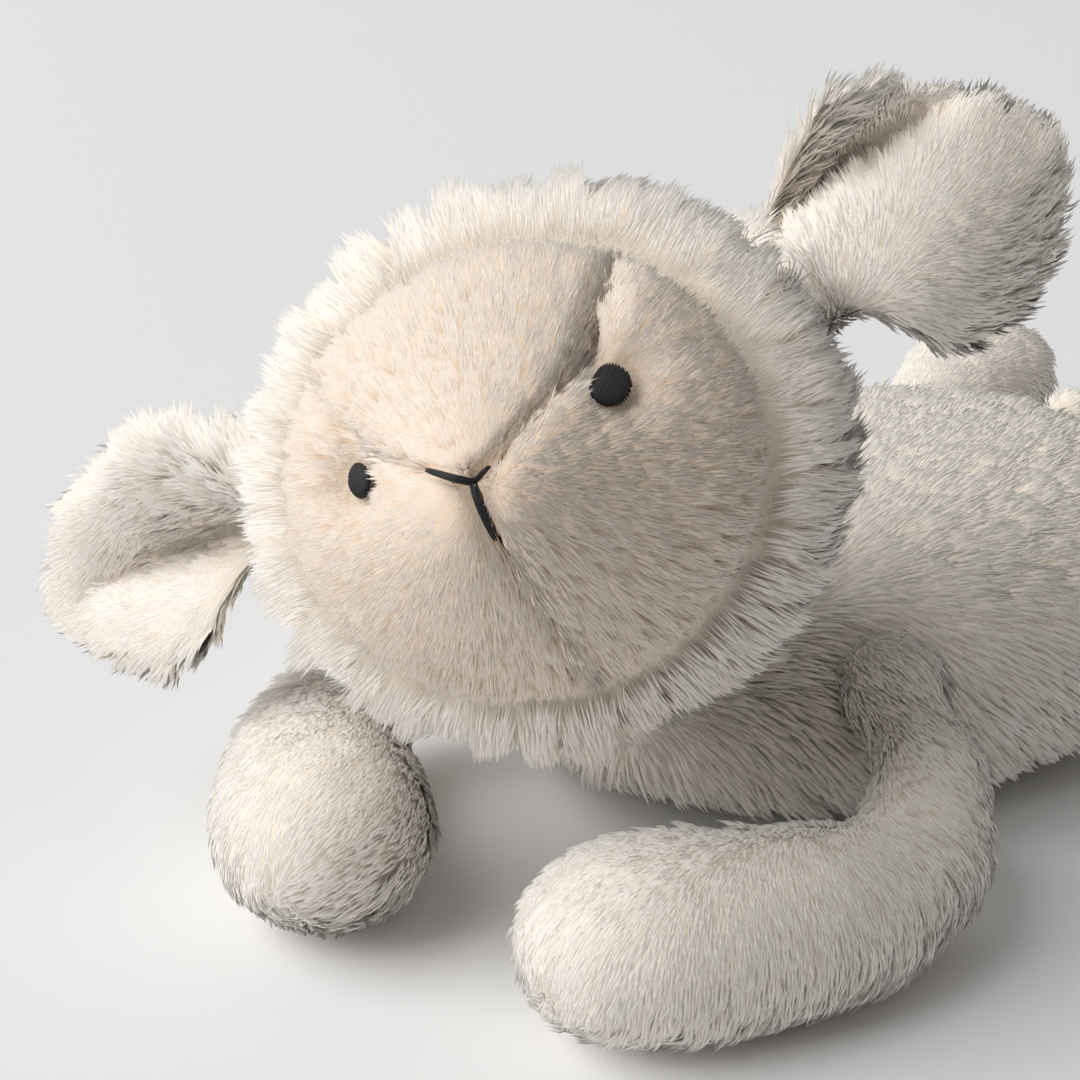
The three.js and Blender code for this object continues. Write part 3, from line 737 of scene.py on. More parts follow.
def pile_tree():
    """The tree that grows pile on a skin and ends as a plain mesh."""
    tree = bpy.data.node_groups.new("Sewn pile", "GeometryNodeTree")
    tree.interface.new_socket("Skin", in_out="INPUT", socket_type="NodeSocketGeometry")
    for name, kind, default in PILE_INPUTS:
        slot = tree.interface.new_socket(name, in_out="INPUT", socket_type=kind)
        if default is not None:
            slot.default_value = default
    tree.interface.new_socket("Pile", in_out="OUTPUT", socket_type="NodeSocketGeometry")
    entry = tree.nodes.new("NodeGroupInput")
    given = {s.name: Wire(tree, s) for s in entry.outputs if s.name}
    real = out(tree, node(tree, "GeometryNodeRealizeInstances", Geometry=combed_strands(tree, given)))

    along = marked_value(tree, "strand_along")
    side = marked_value(tree, "strand_side")
    u = along * STRAND_U_SPAN + side * STRAND_U_SIDE + STRAND_U_START
    v = marked_value(tree, "strand_row") + side * (STRAND_ROW_SHARE / TONE_ROWS)
    mapped = stored(tree, real, BAKE_MAP, joined(tree, u, v, 0.0), "FLOAT2", "CORNER")
    x, y, z = split(tree, out(tree, node(tree, "GeometryNodeInputPosition")))
    lowest = given["Floor Height"] + along * FLOOR_RISE
    cleaned = out(tree, node(tree, "GeometryNodeSetPosition", Geometry=mapped,
                             Position=joined(tree, x, y, z.at_least(lowest))))
    marks = ["strand_along", "strand_side", "strand_row"] + [f"pile_{mark}" for mark in PILE_MARKS]
    for mark in marks:
        cleaned = out(tree, node(tree, "GeometryNodeRemoveAttribute", Geometry=cleaned, Name=mark))
    shaded = node(tree, "GeometryNodeSetShadeSmooth", Geometry=cleaned, Shade_Smooth=True)
    own = out(tree, node(tree, "GeometryNodeInputNormal"))
    leaning = marked_value(tree, "strand_normal", "FLOAT_VECTOR")
    soft = (leaning + own * given["Strand Relief"].repeated()).unit()
    turned = node(tree, "GeometryNodeSetMeshNormal", {"mode": "FREE", "domain": "POINT"},
                  Mesh=out(tree, shaded), Custom_Normal=soft)
    bare = node(tree, "GeometryNodeRemoveAttribute", Geometry=out(tree, turned), Name="strand_normal")
    finished = node(tree, "GeometryNodeSetMaterial", Geometry=out(tree, bare),
                    Material=given["Material"])
    plug(tree, tree.nodes.new("NodeGroupOutput").inputs[0], out(tree, finished))
    return tree


def area_of(mesh, cover):
    """Area of the mesh that its pile covers."""
    mesh.calc_loop_triangles()
    corners = np.empty(len(mesh.loop_triangles) * 3, dtype=np.int32)
    mesh.loop_triangles.foreach_get("vertices", corners)
    corners = corners.reshape(-1, 3)
    a, b, c = (places(mesh)[corners[:, k]] for k in range(3))
    areas = np.linalg.norm(np.cross(b - a, c - a), axis=1) / 2
    return float(np.sum(areas * cover[corners].mean(axis=1)))


def grow_pile(kind, name, skin, strands, material, comb, seed, cover=1.0, reach=1.0, tone=PLAIN_TONE):
    """Grows one kind of pile on a copy of the skin's mesh and returns it as a piece of its own."""
    mesh = skin.data.copy()
    every = np.ones(len(mesh.vertices))
    for mark, given in (("cover", cover), ("reach", reach), ("tone", tone)):
        store(mesh, f"pile_{mark}", every * given)
    store(mesh, "pile_comb", comb, "FLOAT_VECTOR")
    grown = new_object(name, mesh)
    tree = bpy.data.node_groups.get("Sewn pile") or pile_tree()
    modifier = grown.modifiers.new("Pile", "NODES")
    modifier.node_group = tree
    values = {
        "Length": getattr(pile(), f"{kind}_length"), "Width": getattr(pile(), f"{kind}_width"),
        "Strands per Area": strands / area_of(mesh, every * cover), "Seed": seed,
        "Material": material_named(material), **PILES[kind]}
    for item in tree.interface.items_tree:
        if item.item_type == "SOCKET" and item.in_out == "INPUT" and item.name in values:
            modifier[item.identifier] = values[item.name]
    evaluated(grown)
    grown.data.name = name
    grown.visible_shadow = False
    return grown


# ---------------------------------------------------------------- the head's frame

def shape():
    """The settings of the head and its features."""
    return bpy.context.scene.sheep_shape


def pile():
    """The settings of the pile."""
    return bpy.context.scene.sheep_pile


def turned_by(*angles):
    """The matrix of a turn about X, Y and Z."""
    return Euler(angles).to_matrix()


def head_turn():
    """The matrix that turns the head's own directions into the scene's."""
    lift, tilt, turn = shape().head_turns
    return np.array(turned_by(0, 0, turn) @ turned_by(lift, 0, 0) @ turned_by(0, tilt, 0))


def from_head(points):
    """Places of the head's own frame in the scene."""
    return np.asarray(points, float) @ head_turn().T + np.array(shape().head_place)


def to_head(points):
    """Places of the scene in the head's own frame."""
    return (np.asarray(points, float) - np.array(shape().head_place)) @ head_turn()


# Places on the face are (across, up) from the head's middle. Sizes are (half width, half height).
MUZZLE_UP, MUZZLE_SIZE = -6 * MM, (15 * MM, 16 * MM)
PAD_PLACE, PAD_SIZE, PAD_RISE = (7.5 * MM, -9 * MM), (6 * MM, 7 * MM), 1.3 * MM
DIMPLE_SIZE, DIMPLE_DEPTH = (5.5 * MM, 5.5 * MM), 3.4 * MM
CLEFT_FOOT, CLEFT_WIDTH, CLEFT_DEPTH = (0, -26 * MM), 2.0 * MM, 1.4 * MM
CLEFT_FADE, DART_FADE = 0.6, 0.45    # what share of their depth the cleft and the darts lose
DART_FOOT, DART_TOP = (17.2 * MM, 8.5 * MM), (26.0 * MM, 26.0 * MM)
DART_WIDTH, DART_DEPTH = 2.1 * MM, 3.6 * MM
SEAM_WIDTH, SEAM_DEPTH = 1.6 * MM, 0.9 * MM
FAR_SEAM_SHARE = 0.25    # how much of the darts' depth shows on the head's right side


def swell(across, up, size):
    """A soft rise of height 1 about the middle."""
    return np.exp(-((across / size[0]) ** 2) - (up / size[1]) ** 2)


def distance_to_line(across, up, start, end):
    """Distance in the face's plane to a straight seam, and the share of the way along it."""
    run = np.array(end) - np.array(start)
    share = ((across - start[0]) * run[0] + (up - start[1]) * run[1]) / (run @ run)
    share = np.clip(share, 0, 1)
    return np.hypot(across - start[0] - share * run[0], up - start[1] - share * run[1]), share


def rim_share(across, up):
    """How far a place lies from the face's middle, 1 at the rim."""
    s = shape()
    return np.hypot(across / s.face_half_width, (up + s.face_drop) / s.face_half_height)


def face_depth(across, up):
    """How far the face stands before its rim, with dimples, darts and the cleft."""
    s = shape()
    side = np.abs(across)
    nose = (0, -s.nose_drop)
    dome = np.sqrt(np.maximum(0.0, 1 - rim_share(across, up) ** 2))
    muzzle = s.muzzle_bulge * swell(across, up - MUZZLE_UP, MUZZLE_SIZE)
    pads = PAD_RISE * swell(side - PAD_PLACE[0], up - PAD_PLACE[1], PAD_SIZE)
    cleft, cleft_share = distance_to_line(across, up, nose, CLEFT_FOOT)
    cleft_depth = CLEFT_DEPTH * np.exp(-(cleft / CLEFT_WIDTH) ** 2) * (1 - CLEFT_FADE * cleft_share)
    dimple = DIMPLE_DEPTH * swell(side - s.eye_side, up - s.eye_rise, DIMPLE_SIZE)
    shown = np.where(across > 0, 1.0, FAR_SEAM_SHARE)
    dart, dart_share = distance_to_line(side, up, DART_FOOT, DART_TOP)
    dart_depth = DART_DEPTH * shown * np.exp(-(dart / DART_WIDTH) ** 2) * (1 - DART_FADE * dart_share)
    seam, _ = distance_to_line(side, up, nose, DART_FOOT)
    seam_depth = SEAM_DEPTH * shown * np.exp(-(seam / SEAM_WIDTH) ** 2)
    relief = muzzle + pads - dimple - cleft_depth - np.maximum(dart_depth, seam_depth)
    return s.dome_depth * dome + relief * np.minimum(1, 2 * dome)


def face_points(across, up):
    """Places on the face's surface, in the head's own frame."""
    return np.stack([across, -shape().rim_forward - face_depth(across, up), up], axis=-1)


def rim_reach(angle):
    """Distance from the nose to the face's rim at an angle."""
    s = shape()
    a, b = s.face_half_width, s.face_half_height
    offset = s.face_drop - s.nose_drop
    x, y = np.cos(angle), np.sin(angle)
    aa = (x / a) ** 2 + (y / b) ** 2
    bb = 2 * y * offset / b ** 2
    cc = offset ** 2 / b ** 2 - 1
    return (-bb + np.sqrt(bb * bb - 4 * aa * cc)) / (2 * aa)


SEAM_STEPS, BEYOND_DART = 60, 1.2    # steps in each run, and the last run's length over the dart's


def seam_angles(shares):
    """Angle at the nose of the seam that passes the eye, at shares of the way to the rim."""
    nose, foot, top = (np.array(place) for place in ((0, -shape().nose_drop), DART_FOOT, DART_TOP))
    corners = [nose, foot, top, top + (top - foot) * BEYOND_DART]
    runs = [np.linspace(a, b, SEAM_STEPS)[1:] for a, b in zip(corners, corners[1:])]
    line = np.concatenate(runs) - nose
    angle = np.arctan2(line[:, 1], line[:, 0])
    share = np.hypot(line[:, 0], line[:, 1]) / rim_reach(angle)
    order = np.argsort(share)
    return np.interp(shares, share[order], angle[order])


PANEL_ROWS, PANEL_COLUMNS = 54, 36
LAST_ROW = 0.995         # where the last row lies, as a share of the way to the rim
EDGE_WIDTH = 0.8 * MM    # how far from its seams a panel bends in
EDGE_DEPTH = 0.9 * MM
PANEL_INSET = 1.4 * MM   # how far the cloth lies under the face's surface, to leave room for the pile


def face_panel(name, first, second, depths):
    """A sewn face panel between two seams, as a closed shell with turned-in edges."""
    s = shape()
    shares = np.sin(np.linspace(0, math.pi / 2, PANEL_ROWS + 1))[1:] * LAST_ROW
    across_share = np.linspace(0, 1, PANEL_COLUMNS + 1)
    start, end = first(shares), second(shares)
    angle = start[:, None] * (1 - across_share) + end[:, None] * across_share
    radius = rim_reach(angle) * shares[:, None]
    across = radius * np.cos(angle)
    up = -s.nose_drop + radius * np.sin(angle)
    outer = face_points(across, up)
    width = np.abs(end - start)[:, None] * radius
    starting = np.exp(-(across_share[None, :] * width / EDGE_WIDTH) ** 2) * depths[0]
    ending = np.exp(-((1 - across_share[None, :]) * width / EDGE_WIDTH) ** 2) * depths[1]
    inset = surface_normals(outer)
    outer = outer - inset * (EDGE_DEPTH * np.maximum(starting, ending) + PANEL_INSET)[..., None]
    inner = outer - inset * s.panel_thickness
    nose = face_points(np.array(0.0), np.array(-s.nose_drop)) + [0, PANEL_INSET, 0]
    return shell_between(name, from_head(outer), from_head(inner), from_head(nose),
                         from_head(nose + np.array([0, s.panel_thickness, 0])))


def surface_normals(grid):
    """Outward directions over a grid of points on the face, which looks towards -Y."""
    rows = np.gradient(grid, axis=0)
    columns = np.gradient(grid, axis=1)
    normal = np.cross(rows, columns)
    normal = normal / np.maximum(np.linalg.norm(normal, axis=-1, keepdims=True), 1e-12)
    return normal * np.where(normal[..., 1:2] > 0.2, -1, 1)


def shell_between(name, outer, inner, outer_pole, inner_pole):
    """A closed shell over two matching grids that both start at a pole."""
    rows, columns = outer.shape[:2]
    points = np.concatenate([grid.reshape(-1, 3) for grid in (outer, inner, outer_pole, inner_pole)])
    half = rows * columns
    faces = []
    for row in range(rows - 1):
        for column in range(columns - 1):
            here = row * columns + column
            faces.append((here, here + 1, here + columns + 1, here + columns))
            faces.append(tuple(half + corner for corner in reversed(faces[-1])))
    for column in range(columns - 1):
        faces.append((2 * half, column + 1, column))
        faces.append((2 * half + 1, half + column, half + column + 1))
        last = (rows - 1) * columns + column
        faces.append((last, last + 1, half + last + 1, half + last))
    for row in range(rows - 1):
        here, there = row * columns, (row + 1) * columns
        faces.append((here, there, half + there, half + here))
        here, there = here + columns - 1, there + columns - 1
        faces.append((there, here, half + here, half + there))
    faces.append((2 * half, 0, half, 2 * half + 1))
    faces.append((columns - 1, 2 * half, 2 * half + 1, half + columns - 1))
    mesh = closed_mesh(name, points.tolist(), faces)
    store(mesh, "outer_side", [1.0] * half + [0.0] * half + [1.0, 0.0])
    return new_object(name, mesh)


# ---------------------------------------------------------------- operators

FLAT_DOWN = -0.8         # a normal that looks further down than this one lies on the floor
SEAM_BLEND = 2 * MM      # over what width the pile's two halves meet
TRUNK_COMB, NECK_COMB, LIMB_COMB = (0.0, 0.75, -0.9), (0.0, 0.3, -1.0), (0.0, 0.0, -0.5)
TRUNK_FLOOR, LIMB_FLOOR = 3.5 * MM, 3 * MM    # below these heights the flat side grows no pile
JOINT_GAIN, JOINT_SPREAD = 0.35, 22 * MM      # longer pile on the trunk around each joint
AROUND_SHARE, ALONG_SHARE = 0.3, 0.9          # how a limb's pile turns round it and runs down it
LIMB_ROOT = 2 * MM                            # from here the limb's pile gains
ROOT_DENSITY, ROOT_LENGTH = 8 * MM, 12 * MM   # over what way it gains density and length
HOOD_BACK, HOOD_UP = 6 * MM, 3 * MM           # how the hood's pile leans back, and its low middle
RIM_SHARE, NEAR_RIM = 0.99, 1.25              # where the hood's pile starts, and is at full length
RIM_SPAN, RIM_LOSS = 0.25, 0.25               # over what way it is shorter, and by how much
FACE_FRONT = 0.6                              # how far forward the face's hollow starts


def finish_piece(piece, body, nodes=()):
    """Puts a piece on its body, in the place of the CAD nodes it stands for."""
    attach(piece, body)
    if nodes:
        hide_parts(*nodes)


def finish_skin(skin, body, nodes, slot="wool"):
    """A padded piece with its backing cloth."""
    skin.data.materials.clear()
    skin.data.materials.append(material_named(f"sheep_{CLOTHS[slot]}_backing"))
    finish_piece(skin, body, nodes)


def coat(kind, name, skin, body, strands, comb, number=0, slot="wool", **marks):
    """Grows one kind of pile on a skin and puts it on the skin's body."""
    material, seed = f"sheep_{CLOTHS[slot]}", SEEDS[kind] + number
    grown = grow_pile(kind, name, skin, STRANDS[strands], material, comb, seed, **marks)
    finish_piece(grown, body)


def off_floor(points, normals, height):
    """0 on the patch that lies flat on the floor, where pile is left off, and 1 elsewhere."""
    return np.where((points[:, 2] < height) & (normals[:, 2] < FLAT_DOWN), 0.0, 1.0)


def half_share(side, across):
    """1 on one half of a piece that is sewn along its middle and 0 on the other."""
    return np.clip(0.5 + side * across / SEAM_BLEND, 0, 1)


class SHEEP_OT_finishes(bpy.types.Operator):
    """Makes the cloth, pile and thread finishes"""
    bl_idname = "sheep.finishes"
    bl_label = "Finishes"
    bl_options = {"REGISTER", "UNDO"}

    def execute(self, context):
        p = pile()
        for cloth, sheen in SHEENS.items():
            colours = [tuple(getattr(p, f"{cloth}_{part}")) for part in ("root", "tip", "shade")]
            pile_material(f"sheep_{cloth}", *colours, sheen)
        for cloth, look in BACKINGS.items():
            backing_material(f"sheep_{cloth}_backing", *look)
        thread_material("sheep_thread", *THREAD)
        return {"FINISHED"}


class SHEEP_OT_trunk(bpy.types.Operator):
    """Stuffs the trunk and grows its wool"""
    bl_idname = "sheep.trunk"
    bl_label = "Trunk"
    bl_options = {"REGISTER", "UNDO"}

    def execute(self, context):
        skin = stuffed_skin("trunk_skin", TRUNK_NODES, voxel=0.0045, inset=0.0018)
        points, normals = places(skin.data), outward(skin.data)
        comb = on_surface(np.array(TRUNK_COMB) + normals * [0.5, 0, 0], normals)
        cover = off_floor(points, normals, TRUNK_FLOOR)
        apart = [np.linalg.norm(points - np.array(JOINT_PLACES[limb]), axis=1) for limb in LIMBS]
        reach = 1 + JOINT_GAIN * np.exp(-(np.min(apart, axis=0) / JOINT_SPREAD) ** 2)
        finish_skin(skin, "body", TRUNK_NODES)
        for side, name in SIDES:
            coat("wool", f"trunk_wool_{name}", skin, "body", "trunk", comb, side,
                 cover=half_share(side, points[:, 0]) * cover, reach=reach)
        return {"FINISHED"}


class SHEEP_OT_neck(bpy.types.Operator):
    """Makes the neck under the hood"""
    bl_idname = "sheep.neck"
    bl_label = "Neck"
    bl_options = {"REGISTER", "UNDO"}

    def execute(self, context):
        skin = stuffed_skin("neck_skin", ("neck",), voxel=0.003, inset=0.003)
        points, normals = places(skin.data), outward(skin.data)
        comb = on_surface(np.tile(NECK_COMB, (len(points), 1)), normals)
        finish_skin(skin, "neck", ("neck",))
        coat("neck", "neck_wool", skin, "neck", "neck", comb)
        return {"FINISHED"}


class SHEEP_OT_limbs(bpy.types.Operator):
    """Stuffs the legs and the tail and grows their wool"""
    bl_idname = "sheep.limbs"
    bl_label = "Legs and tail"
    bl_options = {"REGISTER", "UNDO"}

    def execute(self, context):
        for number, limb in enumerate(LIMBS):
            self.make(number, limb)
        return {"FINISHED"}

    def make(self, number, limb):
        """One stuffed limb, combed away from its joint and a little round itself."""
        nodes = (f"{limb}_skin", f"{limb}_stuffing")
        voxel = 0.0025 if limb == "tail" else 0.0035
        skin = stuffed_skin(f"{limb}_cover", nodes, voxel=voxel, inset=0.0013)
        points, normals = places(skin.data), outward(skin.data)
        along, found = flow_along(skin.data, JOINT_PLACES[limb])
        around = np.cross(normals, along) * (1 if limb.endswith("left") else -1)
        comb = on_surface(around * AROUND_SHARE + along * ALONG_SHARE + np.array(LIMB_COMB), normals)
        finish_skin(skin, limb, nodes)
        thin = np.clip((found - LIMB_ROOT) / ROOT_DENSITY, 0.5, 1)
        reach = np.clip((found - LIMB_ROOT) / ROOT_LENGTH, 0.8, 1)
        coat("leg", f"{limb}_wool", skin, limb, limb, comb, number,
             cover=off_floor(points, normals, LIMB_FLOOR) * thin, reach=reach)


class SHEEP_OT_hood(bpy.types.Operator):
    """Stuffs the hood around the face and grows its wool"""
    bl_idname = "sheep.hood"
    bl_label = "Hood"
    bl_options = {"REGISTER", "UNDO"}

    def execute(self, context):
        skin = stuffed_skin("hood_skin", HOOD_NODES, voxel=0.004, inset=0.0024)
        across, behind, up = to_head(places(skin.data)).T
        outwards = np.stack([across, np.full(len(across), HOOD_BACK), up + HOOD_UP], axis=1)
        comb = on_surface(outwards @ head_turn().T, outward(skin.data))
        share = rim_share(across, up)
        on_face = (behind < -shape().rim_forward * FACE_FRONT) & (share < RIM_SHARE)
        cover = np.where(on_face, 0.0, 1.0)
        near_rim = np.clip(NEAR_RIM - share, 0, RIM_SPAN) / RIM_SPAN * (behind < 0)
        finish_skin(skin, "head", HOOD_NODES)
        for side, name in SIDES:
            coat("hood", f"hood_wool_{name}", skin, "head", "hood", comb, side,
                 cover=half_share(side, across) * cover, reach=1.0 - RIM_LOSS * near_rim)
        return {"FINISHED"}


def chin_seam(shares):
    """The seam straight down from the nose, as an angle on the head's left side."""
    return np.full(len(shares), -math.pi / 2)


def chin_seam_right(shares):
    """The same seam, as an angle on the head's right side."""
    return np.full(len(shares), math.pi * 1.5)


def seam_angles_right(shares):
    """The seam past the other eye."""
    return math.pi - seam_angles(shares)


EYE_BARE, RIM_BARE = 0.95, 0.97    # the face's pile stops here, as shares of the eye and of the rim
STROKE_BARE = 0.5 * MM             # and this near to a stitched stroke
EYE_FADE, RIM_FADE = 6, 0.05       # how soon it thickens past the eye, and thins at the rim
NOSE_SHORT, NOSE_REACH = 14 * MM, 0.4    # pile this near to the nose is shorter, and how short
RIM_END, RIM_SHORT = 1.02, 0.14    # the same towards the rim
LEAST_REACH = 0.35
TONE_GAIN, TONE_FOOT, TONE_SPAN = 0.12, 4 * MM, 20 * MM    # the forehead is a little lighter

# Each panel of the face: its CAD node, its two seams and how deep it turns in at them.
FACE_PANELS = {
    "forehead": ("forehead_panel", seam_angles, seam_angles_right, (1.0, 0.5)),
    "cheek_left": ("cheek_left", chin_seam, seam_angles, (0.35, 1.0)),
    "cheek_right": ("cheek_right", seam_angles_right, chin_seam_right, (0.5, 0.35)),
}


class SHEEP_OT_face(bpy.types.Operator):
    """Sews the face from three panels and grows its short pile"""
    bl_idname = "sheep.face"
    bl_label = "Face"
    bl_options = {"REGISTER", "UNDO"}

    def execute(self, context):
        for number, (name, (cad_node, first, second, depths)) in enumerate(FACE_PANELS.items()):
            panel = face_panel(f"{name}_cloth", first, second, depths)
            self.grow(panel, name, cad_node, number)
        return {"FINISHED"}

    def grow(self, panel, name, cad_node, number):
        """Pile combed away from the nose, short beside the nose, the eyes and the rim."""
        s = shape()
        mesh = panel.data
        across, _, up = to_head(places(mesh)).T
        away = np.stack([across, np.zeros(len(across)), up + s.nose_drop], axis=1)
        comb = on_surface(away @ head_turn().T, outward(mesh))
        outer = np.empty(len(across))
        mesh.attributes["outer_side"].data.foreach_get("value", outer)
        eye = np.hypot((np.abs(across) - s.eye_side) / (s.eye_width / 2),
                       (up - s.eye_rise) / (s.eye_height / 2))
        strokes = stroke_distance(across, up)
        rim = rim_share(across, up)
        nose = np.hypot(across, up + s.nose_drop)
        cover = (outer * np.clip((eye - EYE_BARE) * EYE_FADE, 0, 1)
                 * np.clip((strokes - STROKE_BARE) / STROKE_BARE, 0, 1)
                 * np.clip((RIM_BARE - rim) / RIM_FADE, 0, 1))
        reach = (np.clip(NOSE_REACH + (1 - NOSE_REACH) * nose / NOSE_SHORT, NOSE_REACH, 1.0)
                 * np.clip(LEAST_REACH + (eye - 1) * 0.5, LEAST_REACH, 1.0)
                 * np.clip((RIM_END - rim) / RIM_SHORT, LEAST_REACH, 1.0))
        tone = PLAIN_TONE + TONE_GAIN * np.clip((up - TONE_FOOT) / TONE_SPAN, -0.5, 1)
        finish_skin(panel, "head", (cad_node,), slot="face_pile")
        coat("face", f"{name}_pile", panel, "head", name, comb, number, slot="face_pile",
             cover=cover, reach=reach, tone=tone)


STEM_LENGTH = 8.8 * MM
NOSE_ARMS = ((3.2 * MM, 1.4 * MM), (-6.6 * MM, 4.4 * MM))
STROKE_THREADS = (2, 3, 3)    # threads side by side in each stroke
STROKE_GAP, STROKE_TAPER = 0.36 * MM, 0.55    # between threads, and how far they close up
STROKE_STEPS = 12
STROKE_START, STROKE_STAGGER = -0.02, 0.05    # shares of the stroke, every other thread ends early
STROKE_RISE, STROKE_LAP = 1.0, 0.15           # mm over the face, and of every other thread more
EYE_RISE, EYE_DOME = 0.3, 1.6                 # mm over the face at the eye's edge, and its dome
THREAD_END, THREAD_ROUNDING = 0.35, 0.35      # a thread's size at its ends, and how soon it is full
STROKE_RADIUS, EYE_RADIUS = 0.30 * MM, 0.34 * MM
EYE_THREADS, EYE_STEPS = 15, 13
EYES = {1: (1.0, 0.0), -1: (0.82, 0.9 * MM)}    # each eye's scale, and how far it is turned
NO_THREAD_WAY = (0.31, 0.23, 0.92)    # a direction that no thread takes


def mouth_strokes():
    """The stitched strokes, from and to places across and up the face."""
    drop = -shape().nose_drop
    arms = [((0.0, drop), (side, drop + rise)) for side, rise in NOSE_ARMS]
    return arms + [((0.0, drop), (0.0, drop - STEM_LENGTH))]


def stroke_distance(across, up):
    """Distance in the face's plane to the nearest stitched stroke."""
    return np.min([distance_to_line(across, up, a, b)[0] for a, b in mouth_strokes()], axis=0)


def thread_tubes(name, paths, radius, sides=7):
    """Threads as closed tubes that taper at both ends, in one mesh."""
    points, faces = [], []
    for path in paths:
        count = len(path)
        travel = np.gradient(path, axis=0)
        travel /= np.maximum(np.linalg.norm(travel, axis=1, keepdims=True), 1e-12)
        first = len(points)
        for index, (place, ahead) in enumerate(zip(path, travel)):
            across = np.cross(ahead, NO_THREAD_WAY)
            across /= np.linalg.norm(across)
            up = np.cross(across, ahead)
            share = index / (count - 1)
            full = math.sin(math.pi * share) ** THREAD_ROUNDING if 0 < share < 1 else 0.0
            size = radius * (THREAD_END + (1 - THREAD_END) * full)
            for side in range(sides):
                angle = 2 * math.pi * side / sides
                points.append(place + size * (across * math.cos(angle) + up * math.sin(angle)))
        for row in range(count - 1):
            for side in range(sides):
                a = first + row * sides + side
                b = first + row * sides + (side + 1) % sides
                faces.append((a, b, b + sides, a + sides))
        faces.append(tuple(first + side for side in reversed(range(sides))))
        last = first + (count - 1) * sides
        faces.append(tuple(last + side for side in range(sides)))
    return new_object(name, closed_mesh(name, [tuple(p) for p in points], faces))


class SHEEP_OT_features(bpy.types.Operator):
    """Stitches the eyes, the nose and the mouth"""
    bl_idname = "sheep.features"
    bl_label = "Stitched features"
    bl_options = {"REGISTER", "UNDO"}

    def execute(self, context):
        for side, name in SIDES:
            self.stitch(f"eye_{name}", self.eye_paths(side), EYE_RADIUS)
        self.stitch("nose_and_mouth", self.stroke_paths(), STROKE_RADIUS)
        return {"FINISHED"}

    def stitch(self, cad_node, paths, radius):
        """A stitched piece on the head."""
        stitches = thread_tubes(f"{cad_node}_stitches", paths, radius)
        stitches.data.materials.append(material_named("sheep_thread"))
        finish_piece(stitches, "head", (cad_node,))

    def eye_paths(self, side):
        """Upright threads that fill an eye's oval and stand up in its middle."""
        s = shape()
        size, tilt = EYES[side]
        paths = []
        for thread in range(EYE_THREADS):
            share = (thread + 0.5) / EYE_THREADS * 2 - 1
            steps = np.linspace(-1, 1, EYE_STEPS) * math.sqrt(1 - share ** 2)
            across = side * s.eye_side + share * size * s.eye_width / 2 + np.zeros(EYE_STEPS)
            place = face_points(across, s.eye_rise + steps * size * s.eye_height / 2)
            dome = np.sqrt(np.maximum(0.0, 1 - share ** 2 - steps ** 2))
            place[:, 1] -= (EYE_RISE + EYE_DOME * size * dome) * MM + tilt * share
            paths.append(from_head(place))
        return paths

    def stroke_paths(self):
        """Threads side by side along each stroke, closer together at its end."""
        paths = []
        for (start, end), threads in zip(mouth_strokes(), STROKE_THREADS):
            run = np.array(end) - np.array(start)
            beside = np.array([-run[1], run[0]]) / np.linalg.norm(run)
            for thread in range(threads):
                shift = (thread - (threads - 1) / 2) * STROKE_GAP
                end_share = 1.0 - STROKE_STAGGER * (thread % 2)
                shares = np.linspace(STROKE_START, end_share, STROKE_STEPS)[:, None]
                flat = np.array(start) + shares * run + beside * shift * (1 - STROKE_TAPER * shares)
                place = face_points(flat[:, 0], flat[:, 1])
                place[:, 1] -= (STROKE_RISE + STROKE_LAP * (thread % 2)) * MM
                paths.append(from_head(place))
        return paths


EAR_ROOT = np.array([45.5, 1.0, 10.0]) * MM    # in the head's own frame, on the left side
# Each ear's crease: where it starts above the middle line and how far it climbs, as shares of the
# half width, and how far the upper flank is let out.
EAR_FOLDS = {1: (0.15, 0.62, 19 * MM), -1: (-0.30, 0.30, 9 * MM)}
# Across the ear, in shares of the half width.
CREASE_WIDTH = 0.13
ROLL_PLACE, ROLL_WIDTH = 0.5, 0.6               # the rolls on both sides of the crease
LOWER_HEIGHT, UPPER_HEIGHT = 0.5, 0.75
FALL_START, FALL, FALL_LIMIT = 1.4, 1.5, 0.5    # how the ear falls off past the rolls
FLANK_LEAST, TUCK_WIDTH = -0.3, 0.6             # how far the lower flank draws in, and its tuck
# Along the ear, in shares of its length.
FOLD_START, FOLD_RISE = 0.2, 8                  # how deep the fold starts, and how soon it is full
FOLD_END, FOLD_FALL = 0.84, 2.5                 # where it ends, and how soon it fades to there
FLANK_MIDDLE, FLANK_SPREAD = 0.30, 0.44         # where the flank is let out most
LEFT_DRAW, DRAW_SPREAD = 6 * MM, 0.45           # the left ear's flank drawn in at the root
RIGHT_STRETCH, STRETCH_POWER = 6 * MM, 1.5      # the right ear made longer at its tip
RIGHT_TUCK, TUCK_MIDDLE, TUCK_SPREAD = 8 * MM, 0.22, 0.30    # its lower flank tucked in
# The ear's pile.
PARTING, PARTING_WIDTH = 0.7, 8 * MM            # how it parts along the ear's middle line
MIDDLE_PILE, EDGE_PILE, EAR_EDGE = 0.75, 0.35, 16 * MM    # its reach, and more towards the edges
ROOT_PILE, ROOT_SPREAD, ROOT_RISE = 0.6, 0.018, 6 * MM    # more above the root
CREASE_SHORT_AND_SHADE = 0.5                               # shorter in the crease, and toned darker there as painted shade
